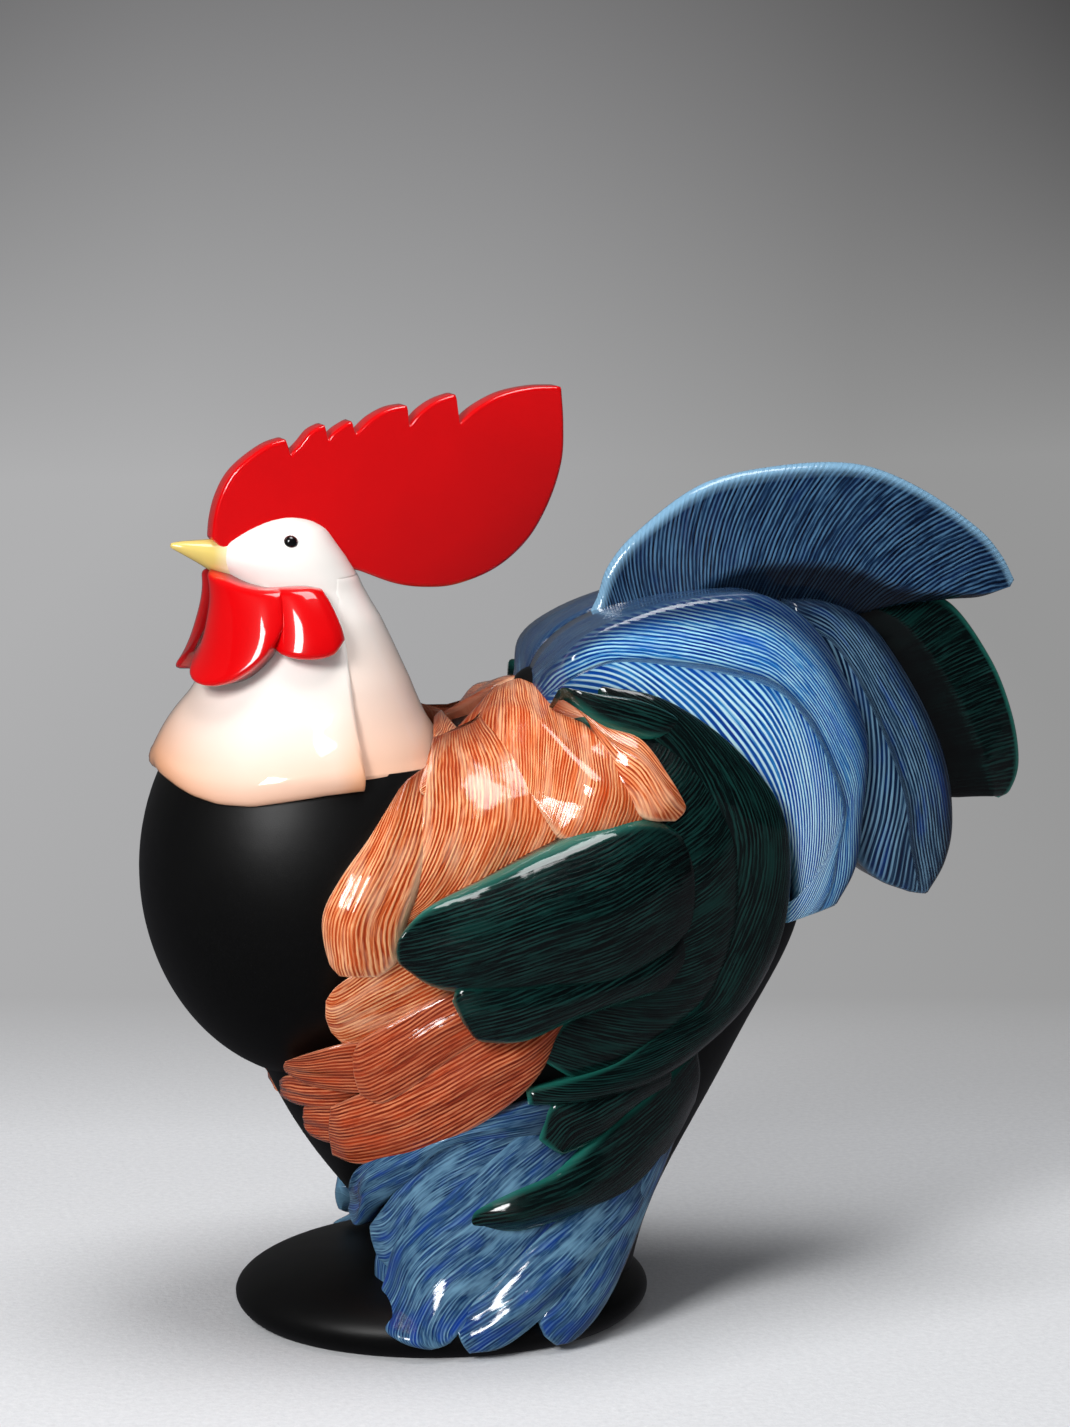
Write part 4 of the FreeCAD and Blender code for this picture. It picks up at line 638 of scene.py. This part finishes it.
# Each row: x and z of the rim, x and z of the inner edge, place of the ridge between, width share
plumes = {
    "tailTopFeather": {"finish": "navy", "halfWidth": 13, "lean": 52, "rimBand": 2.4, "rows": [
        (33.6, 211.6, 40.6, 204.6, 0.3, 0.3), (44.8, 222.8, 53.2, 211.6, 0.34, 0.45),
        (53.2, 236.8, 67.2, 217.2, 0.49, 0.6), (57.4, 248, 81.2, 222.8, 0.6, 0.75),
        (67.2, 259.2, 89.6, 227, 0.65, 0.85), (89.6, 274.6, 105, 228.4, 0.59, 0.92),
        (116.2, 280.2, 123.2, 227, 0.58, 1), (144.2, 280.2, 140, 229.8, 0.67, 1),
        (166.6, 271.8, 155.4, 232.6, 0.83, 0.92), (187.6, 257.8, 175, 234, 0.9, 0.7),
        (196.7, 248, 187.6, 234.3, 0.9, 0.5), (201.6, 239.3, 199.1, 236.9, 0.9, 0.16),
    ]},
    "tailRearFeather": {"finish": "green", "halfWidth": 9, "lean": 80, "rimBand": 1.5, "rows": [
        (140, 242.4, 128.8, 227, 0.4, 0.45), (161, 235.4, 142.8, 222.8, 0.4, 0.6),
        (177.8, 232.6, 148.4, 211.6, 0.47, 0.9), (193.2, 213, 154, 194.8, 0.43, 1),
        (201.6, 193.4, 162.4, 178, 0.42, 1), (204.4, 176.6, 170.8, 168.2, 0.41, 0.9),
        (201.6, 166.8, 180.6, 165.4, 0.4, 0.6), (197.4, 164, 191.8, 166.1, 0.52, 0.25),
    ]},
}
plumeShape = {
    "steps": 90, "facePoints": 30, "nose": 0.06, "nosePoints": 6, "edgeRound": 2.4,
    "ridge": (0.15, 0.9),  # least and most place of the ridge
    "rimShare": 0.22, "hollow": 1.35, "innerFall": 0.4, "innerPower": 0.8, "leastHalf": 0.02,
    "bandStart": 1.6, "shadeFade": 0.05,
}


# A plume is the same on both sides: its half width grows from the rim to the ridge in a hollow
# curve, then shrinks to the inner edge. On each side a quarter circle rounds the rim
def plumeRings(plume):
    shape = plumeShape
    rows = np.array(plume["rows"], float)
    rx, rz, ex, ez, ridge, share = throughRows(rows, stationTurns(len(rows), shape["steps"])).T
    rim, edge = np.stack([rx, 0 * rx, rz], -1), np.stack([ex, 0 * ex, ez], -1)
    span = np.linalg.norm(edge - rim, axis=1)[:, None]
    ridge = np.clip(ridge, *shape["ridge"])[:, None]
    nose = shape["nose"] * np.sin(np.linspace(0, np.pi / 2, shape["nosePoints"] + 1)[:-1]) ** 2
    q = np.concatenate([nose, np.linspace(shape["nose"], 1, shape["facePoints"])])
    before = np.clip(q / ridge, 0, 1) ** shape["hollow"]
    after = np.clip((q - ridge) / (1 - ridge), 0, 1) ** shape["innerPower"]
    half = shape["rimShare"] + (1 - shape["rimShare"]) * before - shape["innerFall"] * after
    roundIn = np.minimum(q * span / shape["edgeRound"], 1)
    half = plume["halfWidth"] * share[:, None] * half
    half = half * np.sqrt(np.clip(1 - (1 - roundIn) ** 2, 0, 1))
    half = np.maximum(half, shape["leastHalf"])
    left = rim[:, None] + (edge - rim)[:, None] * q[None, :, None]
    right = left.copy()
    left[..., 1] = -half
    right[..., 1] = half
    along = lengths((rim + edge) / 2)[:, None] + 0 * half
    across = q * span
    onFace = turned(along, across, -plume["lean"])
    # Rim colour: a light band along the rim, partly a painted highlight; painted shade below the
    # ridge, on the underside
    band = np.clip(shape["bandStart"] - across / plume["rimBand"], 0, 1)
    under = np.clip((q - ridge) / shape["shadeFade"], 0, 1)
    rings, maps, rimTint, shadeTint = [np.concatenate([one, other[:, ::-1]], 1) for one, other in (
        (left, right), (onFace, onFace), (band, band), (under, under))]
    return rings, maps, {"rim": rimTint, "pool": shadeTint}


for name, plume in plumes.items():
    rings, maps, tints = plumeRings(plume)
    material, slotName = finishes[plume["finish"]]
    ringMesh(name, rings, material, [snake(name)], maps, tints)
print("tail carved")


# Head, bib and nape

neck = {
    "seat": 190.0, "axis": -45.0, "seam": -37.5, "seamTop": 247.6, "layer": 1.8, "points": 144,
    "rows": [  # height over the seat, shift, half length, half width
        (-10, 2.99, 52.7, 54.5), (-3, 1.84, 49.5, 52), (2, 0, 45.3, 50), (13, -1.15, 40, 43),
        (25, 0, 33.4, 35), (35, 0, 28.1, 29), (45, -0.46, 23.2, 24.3), (53, -2.07, 20, 19.8),
        (59, -4.83, 19.8, 18.3), (65, -7.82, 19.3, 16.8), (70, -8.51, 16.6, 14.3),
        (74, -6.9, 12.2, 10.8), (77, -5.98, 6.7, 6.3), (79.3, -5.98, 0.7, 0.8),
    ],
    "hem": [  # degrees from the front, height of the hem
        (0, 186.6), (17, 184.6), (31, 182.0), (43, 180.6), (56, 180.8), (69, 182.8),
        (82, 184.6), (93, 185.4), (180, 186),
    ],
    "hemProfile": [  # rise over the hem, distance out
        (0.6, -7), (0.0, -0.6), (0.1, 0.9), (0.8, 2.3), (2.2, 3.7), (4.2, 4.6), (6.5, 5.0),
    ],
    "coneSteps": 44, "coneFade": 3,  # above the hem the layer thins within a third of the way
    "browTop": 265, "browSteps": 16, "domeFrom": 75, "domeTop": 79.3, "domeSteps": 22,
    "closeAt": 269.4, "closeOver": 3,
    "blushHeight": 38, "blushBand": 9, "blushAngle": 0.9,
    "blush": ((0.8, 1.4), (0.35, 0.6), (0.45, 0.8)),  # share, power: all round, at seam, at front
}


def neckOval(z, turn, out):  # point of the neck's oval at a height, turned back from the front
    rows = np.array(neck["rows"], float)
    place = np.interp(z - neck["seat"], rows[:, 0], np.arange(len(rows)))
    shift, length, width = [
        throughRows(rows[:, c:c + 1], place.ravel()).reshape(place.shape) for c in (1, 2, 3)]
    x = neck["axis"] + shift - np.cos(turn) * (length + out)
    return np.stack([x, -np.sin(turn) * (width + out), z + 0 * turn], -1)


turn = np.linspace(-np.pi, np.pi, neck["points"] + 1)[:-1]
hemAt = np.interp(np.abs(np.degrees(turn)), *np.array(neck["hem"], float).T)
rings = [neckOval(hemAt + rise, turn, out) for rise, out in neck["hemProfile"]]
coneFrom, thick = neck["hemProfile"][-1]
for step in np.linspace(0, 1, neck["coneSteps"])[1:]:
    z = hemAt + coneFrom + (neck["seamTop"] - hemAt - coneFrom) * step
    thin = min(step * neck["coneFade"], 1)
    rings.append(neckOval(z, turn, thick + (neck["layer"] - thick) * thin))
front = np.array(rings)
front[..., 0] = np.minimum(front[..., 0], neck["seam"])  # cut flat at the seam, closed above it
brow = np.linspace(neck["seamTop"] + 0.6, neck["browTop"], neck["browSteps"])
domeFrom = np.arcsin(neck["domeFrom"] / neck["domeTop"])
dome = np.sin(np.linspace(domeFrom, np.pi / 2, neck["domeSteps"]))[1:]
skull = []
for z in np.concatenate([brow, neck["seat"] + neck["domeTop"] * dome]):
    thin = min(1, (neck["closeAt"] - z) / neck["closeOver"])
    skull.append(neckOval(z + 0 * turn, turn, neck["layer"] * thin))
rings = np.concatenate([front, skull])
height = rings[..., 2]
fade = 1 - np.clip((height - hemAt) / neck["blushHeight"], 0, 1)
atSeam = np.clip(1 - np.abs(rings[..., 0] - neck["seam"]) / neck["blushBand"], 0, 1)
atSeam = atSeam * (height < neck["seamTop"])
atFront = np.clip(1 - np.abs(turn) / neck["blushAngle"], 0, 1)
blush = [share * where * fade ** power
         for (share, power), where in zip(neck["blush"], (1, atSeam, atFront))]
blush = np.clip(sum(blush), 0, 1)
ringMesh("headAndBib", rings, whiteGlaze, ["head_and_bib"], None, {"blush": blush})

nape = {
    "hemAt": 188.6, "hemProfile": [(0.4, -7), (0.0, -0.8), (0.2, 0.0), (0.8, 0.5), (1.8, 0.6)],
    "from": 192, "to": 256, "steps": 44, "lip": 0.5, "lipOver": 12,
    "swellFrom": 205, "swellOver": 36, "diveFrom": 248.5, "diveOver": 7, "diveDepth": 3,
    "behindSeam": 1.0, "blushFrom": 189, "blushOver": 52, "blush": 0.78,
}
rings = [neckOval(nape["hemAt"] + rise + 0 * turn, turn, out) for rise, out in nape["hemProfile"]]
for z in np.linspace(nape["from"], nape["to"], nape["steps"]):  # swells, then dives into the head
    near = np.clip((z - nape["swellFrom"]) / nape["swellOver"], 0, 1)
    swell = (neck["layer"] + 0.1) * near * near * (3 - 2 * near)
    swell -= nape["diveDepth"] * np.clip((z - nape["diveFrom"]) / nape["diveOver"], 0, 1)
    lip = nape["lip"] * max(0, 1 - (z - nape["from"]) / nape["lipOver"])
    rings.append(neckOval(z + 0 * turn, turn, lip + swell))
rings = np.array(rings)
cut = neck["seam"] - nape["behindSeam"]
behind = rings[..., 0] >= cut  # in front of the cut it is flat, and no wider than at the cut
widest = np.where(behind, np.abs(rings[..., 1]), 0).max(axis=1)[:, None]
rings[..., 1] = np.where(behind, rings[..., 1], np.clip(rings[..., 1], -widest, widest))
rings[..., 0] = np.maximum(rings[..., 0], cut)
fade = 1 - np.clip((rings[..., 2] - nape["blushFrom"]) / nape["blushOver"], 0, 1)
blush = nape["blush"] * fade ** 1.1
ringMesh("nape", rings, whiteGlaze, ["nape"], None, {"blush": blush})

# Beak: ovals along its line from a root in the head to its tip
beak = {
    "rows": [  # x, upper z, lower z, half width
        (-58, 263, 240, 11.5), (-66, 262, 243.6, 9.6), (-73, 261.2, 248.6, 7),
        (-80, 260.8, 253.2, 4.6), (-85, 260.6, 256.2, 2.8), (-88.4, 260.1, 258.2, 1.1),
        (-89, 259.6, 258.8, 0.4),
    ],
    "steps": 46, "points": 40, "blushFrom": -76, "blushOver": 9,
}
turns = np.linspace(0, len(beak["rows"]) - 1, beak["steps"])
x, up, down, wide = throughRows(beak["rows"], turns).T[..., None]
around = np.linspace(0, 2 * np.pi, beak["points"] + 1)[:-1]
z = (up + down) / 2 + (up - down) / 2 * np.cos(around)
rings = np.stack([x + 0 * z, wide * np.sin(around), z], -1)
blush = np.clip((rings[..., 0] - beak["blushFrom"]) / beak["blushOver"], 0, 1)
ringMesh("beak", rings, beakGlaze, ["beak"], None, {"blush": blush})

# Wattles: slabs laid on the neck. Each row: degrees from the front, z and relief of the upper
# edge, the same of the lower edge, crown
wattles = {
    "wattle": [
        (1, 252, 4.5, 5, 224, 8.5, 1), (12, 251, 6.5, 17, 218, 10, 1.4),
        (26, 249.6, 7.2, 31, 216.4, 10.4, 1.8), (40, 248, 7.2, 44, 218.6, 10, 2),
        (54, 247, 7, 55, 224, 9.4, 2), (64, 246.8, 6.6, 62, 230, 8.6, 1.6),
        (71, 246.6, 5.8, 67, 236, 7.4, 1),
    ],
    "earLobe": [
        (52, 246.8, 2.4, 54, 230, 3, 0.8), (64, 247, 4.4, 66, 226.6, 6.4, 1.6),
        (77, 247.4, 5.8, 79, 225.4, 7.8, 2.2), (90, 247.4, 6, 92, 226.6, 7.8, 2.2),
        (100, 246.6, 4.8, 102, 231, 6, 1.4),
    ],
}
wattleShape = {"edgeRound": 2.4, "bulge": 2.6, "rootBelow": 5}
for name, rows in wattles.items():
    a, az, ar, b, bz, br, crown = np.array(rows, float).T
    top, low, peak = [neckOval(z, np.radians(angle), neck["layer"] + out) for angle, z, out in (
        (a, az, ar), (b, bz, br), ((a + b) / 2, (az + bz) / 2, (ar + br) / 2 + crown))]
    inward = unit(np.stack([neck["axis"] - peak[:, 0], -peak[:, 1], 0 * a], -1))
    stations = (top, peak, low, inward, np.maximum(ar, br) + wattleShape["rootBelow"])
    rings, _, tints = slabRings(stations, wattleShape)
    ringPair(name, "wattle", rings, redGlaze, None, tints)
print("head made")

# Edge of the comb in x and z: each row of the table is a smooth curve from the sharp corner that
# ends the row before. On both sides a quarter circle rounds the edge
comb = {
    "halfThickness": 5.5, "edgeRound": 1.4, "roundPoints": 9, "inset": 0.2,
    "pointsPerMm": 0.9, "soften": 0.2, "smoothings": 24,
    "dark": {"x": (-76, 117, 0.3, 1.2), "z": (309, 66)},  # painted shade, darker towards the lower back
    "edge": [
        [(-75.7, 267.5), (-73.9, 274.4), (-70.3, 281.4), (-65.1, 286.6), (-58, 291.3),
         (-51.8, 293.3)],
        [(-50.8, 287.9)],
        [(-47, 291.5), (-43.5, 295.5), (-38.9, 297.7)],
        [(-38.3, 292.5)],
        [(-35.3, 295.7), (-30, 298.8)],
        [(-29, 294.2)],
        [(-23.8, 299.1), (-17.6, 302.3), (-11.6, 303.3)],
        [(-11.3, 296.5)],
        [(-7.1, 301.2), (-1.6, 304.7), (4.6, 306.7)],
        [(5.7, 297.1)],
        [(11.3, 301.9), (20.3, 306.4), (30.7, 308.4), (40.1, 308.5)],
        [(40.9, 296.2), (40.3, 283.9), (36, 270.6), (28.7, 258.4), (18, 249.4), (5.2, 244.5),
         (-5.2, 243.7), (-15.8, 245.2), (-28, 249.8)],
        [(-46.5, 253.3), (-67.9, 255.3), (-76.3, 261.3)],
    ],
    "spine": [(-64, 265), (-48, 274), (-30, 277), (-6, 278), (18, 279)], "spineSteps": 200,
}
outline = []
curve = comb["edge"][-1]
for row in comb["edge"]:
    curve = [curve[-1]] + row
    steps = max(4, int(lengths(np.array(curve))[-1] * comb["pointsPerMm"]))
    outline.append(throughRows(curve, np.linspace(0, len(curve) - 1, steps + 1)[:-1]))
outline = np.concatenate(outline)


def smoothed(line, share):  # each point of a closed line moves a share towards both neighbours
    return share * np.roll(line, 1, 0) + (1 - 2 * share) * line + share * np.roll(line, -1, 0)


outline = smoothed(outline, comb["soften"])
spine = throughRows(comb["spine"], np.linspace(0, len(comb["spine"]) - 1, comb["spineSteps"]))
near = spine[np.argmin(np.linalg.norm(outline[:, None] - spine[None], axis=2), axis=1)]
for _ in range(comb["smoothings"]):
    near = smoothed(near, 0.25)
reach = np.linalg.norm(outline - near, axis=1)
edge, half = comb["edgeRound"], comb["halfThickness"]
profile = [(edge * (1 - np.cos(p)), half - edge * (1 - np.sin(p)))
           for p in np.linspace(0, np.pi / 2, comb["roundPoints"])]
profile.append((edge + comb["inset"], half))
rings, dark = [], []
startX, overX, skip, gain = comb["dark"]["x"]
startZ, overZ = comb["dark"]["z"]
for depth, y in profile[::-1] + [(depth, -y) for depth, y in profile][1:]:
    x, z = (outline + (near - outline) * (depth / reach)[:, None]).T
    rings.append(np.stack([x, 0 * x + y, z], -1))
    back, down = (x - startX) / overX, (startZ - z) / overZ
    dark.append(np.clip((back - skip) * gain, 0, 1) * np.clip(down, 0, 1))
rings, tints = np.array(rings), {"pool": np.array(dark)}
ringMesh("comb", rings, redGlaze, ["comb"], None, tints, flatEnds=True)
print("comb made")

# Solids that stay as they are
keptSolids = {"foot": blackSlip, "body": blackSlip, "breast": blackSlip, "eyes": beadGlaze}
for node, material in keptSolids.items():
    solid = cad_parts[node]
    solid.data.materials.clear()
    solid.data.materials.append(material)


# Studio, in metres

studio = {
    "camera": (-0.3062, -1.2638, 0.4), "pitch": 8.7, "turn": -15.0, "lens": 100.66,
    "floorReach": 60, "floorTones": ((200, 201, 204), (230, 231, 233)), "weave": 420.0,
    "floorInGloss": (82, 82, 86),
    "viewWay": (0.26, 0.97),  # the camera's way over the floor
    "plainRound": (0.34, 1.7), "plainBehind": (0.22, 4.0),  # where plain grey sets in: from, gain
    "wall": (30, 3, 20), "wallTone": (150, 150, 150),  # reach to both sides, place, top
    # painted shade on the glowing wall: darker upwards and into the corners; painted falloff from
    # left to right
    "wallUpShade": (1.15, (72, 71, 72)), "wallMiddle": 0.7, "wallCornerShade": (2.2, (46, 45, 46)),
    "sideWay": (0.77, -0.21),
    "sideFalloffTones": ((0.2, (176, 176, 177)), (0.5, (166, 166, 167)), (0.8, (150, 150, 150))),
    "worldTone": (150, 150, 152), "worldStrength": 0.95,
    "worldSeenBy": (("Is Glossy Ray", (34, 34, 37)), ("Is Camera Ray", (150, 150, 150))),
    "lamps": {  # place, aim, width, height, power
        "keySoftbox": ((-1.0, -0.95, 1.0), (0, 0, 0.15), 0.42, 0.62, 21),
        "topSoftbox": ((0.1, -0.1, 1.35), (0.05, 0, 0.15), 0.6, 0.6, 10),
    },
}


# Grey of the studio with painted light falloff, the same for floor and wall: it falls from the left
# of the view to the right
def sideFalloff(t, x, y):
    wayX, wayY = studio["sideWay"]
    side = t.plus(t.times(x, wayX), t.times(y, wayY))
    return t.ramp(t.plus(side, 0.5), [(place, srgb(*tone)) for place, tone in studio["sideFalloffTones"]])


def sheet(name, corners, material):
    mesh = bpy.data.meshes.new(name)
    mesh.from_pydata(corners, [], [(0, 1, 2, 3)])
    mesh.materials.append(material)
    piece = bpy.data.objects.new(name, mesh)
    bpy.context.collection.objects.link(piece)
    return piece


# Floor: pale, lit and shadowed near the figure, and away from it a glowing studio grey with painted
# light falloff. The glaze mirrors a darker floor, as in the photograph
r = studio["floorReach"]
t = Tree("studioFloor", 0.8, specular=0.2)
floor = sheet("floor", [(-r, -r, 0), (r, -r, 0), (r, r, 0), (-r, r, 0)], t.material)
x, y, _ = t.split(t.coords("Object"))
weave = t.noise(t.coords("Object"), studio["weave"], 3.0, 0.7)
t.shade("Base Color", t.mix(weave, *[srgb(*tone) for tone in studio["floorTones"]]))
t.shade("Normal", t.bump(weave, 0.5 * mm, 0.5))
away = t.math("SQRT", t.plus(t.times(x, x), t.times(y, y)))
wayX, wayY = studio["viewWay"]
behind = t.plus(t.times(x, wayX), t.times(y, wayY))
plain = [t.above(away, *studio["plainRound"]), t.above(behind, *studio["plainBehind"])]
seen, glossy = t.rays()
plain = t.times(t.math("MAXIMUM", *plain), seen, True)
color = t.blend(plain, t.shader.outputs[0], t.glow(sideFalloff(t, x, y)))
t.surface(t.blend(glossy, color, t.glow(srgb(*studio["floorInGloss"]))))

# Wall behind the figure, glowing to the camera: painted shade darkens its grey upwards and to both
# sides
r, y, top = studio["wall"]
t = Tree("studioWall", 0.9, specular=0.0)
wall = sheet("wall", [(-r, y, -0.01), (r, y, -0.01), (r, y, top), (-r, y, top)], t.material)
t.shade("Base Color", srgb(*studio["wallTone"]))
x, y, z = t.split(t.coords("Object"))
(up, upShadeTone), (corner, cornerShadeTone) = studio["wallUpShade"], studio["wallCornerShade"]
tone = t.mix(t.times(z, up, True), sideFalloff(t, x, y), srgb(*upShadeTone))
aside = t.math("ABSOLUTE", t.minus(x, studio["wallMiddle"]))
cornerShade = t.times(t.times(aside, aside), t.times(z, corner), True)
seen, _ = t.rays()
t.surface(t.blend(seen, t.shader.outputs[0], t.glow(t.mix(cornerShade, tone, srgb(*cornerShadeTone)))))

# World: even light, a dark room in the gloss, plain grey to the camera
world = bpy.data.worlds.new("studio")
bpy.context.scene.world = world
world.use_nodes = True
nodes, links = world.node_tree.nodes, world.node_tree.links
background = nodes["Background"]
background.inputs["Color"].default_value = srgb(*studio["worldTone"])
background.inputs["Strength"].default_value = studio["worldStrength"]
rays = nodes.new("ShaderNodeLightPath").outputs
last = background.outputs[0]
for ray, tone in studio["worldSeenBy"]:
    other = nodes.new("ShaderNodeBackground")
    other.inputs["Color"].default_value = srgb(*tone)
    either = nodes.new("ShaderNodeMixShader")
    for source, socket in zip((rays[ray], last, other.outputs[0]), either.inputs):
        links.new(source, socket)
    last = either.outputs[0]
links.new(last, nodes["World Output"].inputs["Surface"])

for name, (place, aim, width, height, power) in studio["lamps"].items():
    data = bpy.data.lights.new(name, "AREA")
    data.shape = "RECTANGLE"
    data.size, data.size_y = width, height
    data.energy = power
    lamp = bpy.data.objects.new(name, data)
    bpy.context.collection.objects.link(lamp)
    lamp.location = place
    way = Vector(np.array(aim) - np.array(place))
    lamp.rotation_euler = way.to_track_quat("-Z", "Y").to_euler()

camera = bpy.data.objects.new("camera", bpy.data.cameras.new("camera"))
bpy.context.collection.objects.link(camera)
camera.location = studio["camera"]
camera.rotation_euler = (np.radians(90 - studio["pitch"]), 0, np.radians(studio["turn"]))
camera.data.sensor_fit = "VERTICAL"
camera.data.sensor_height = 36
camera.data.lens = studio["lens"]
camera.data.clip_end = 50
bpy.context.scene.camera = camera
bpy.context.scene.view_settings.view_transform = "Standard"
print("studio set")
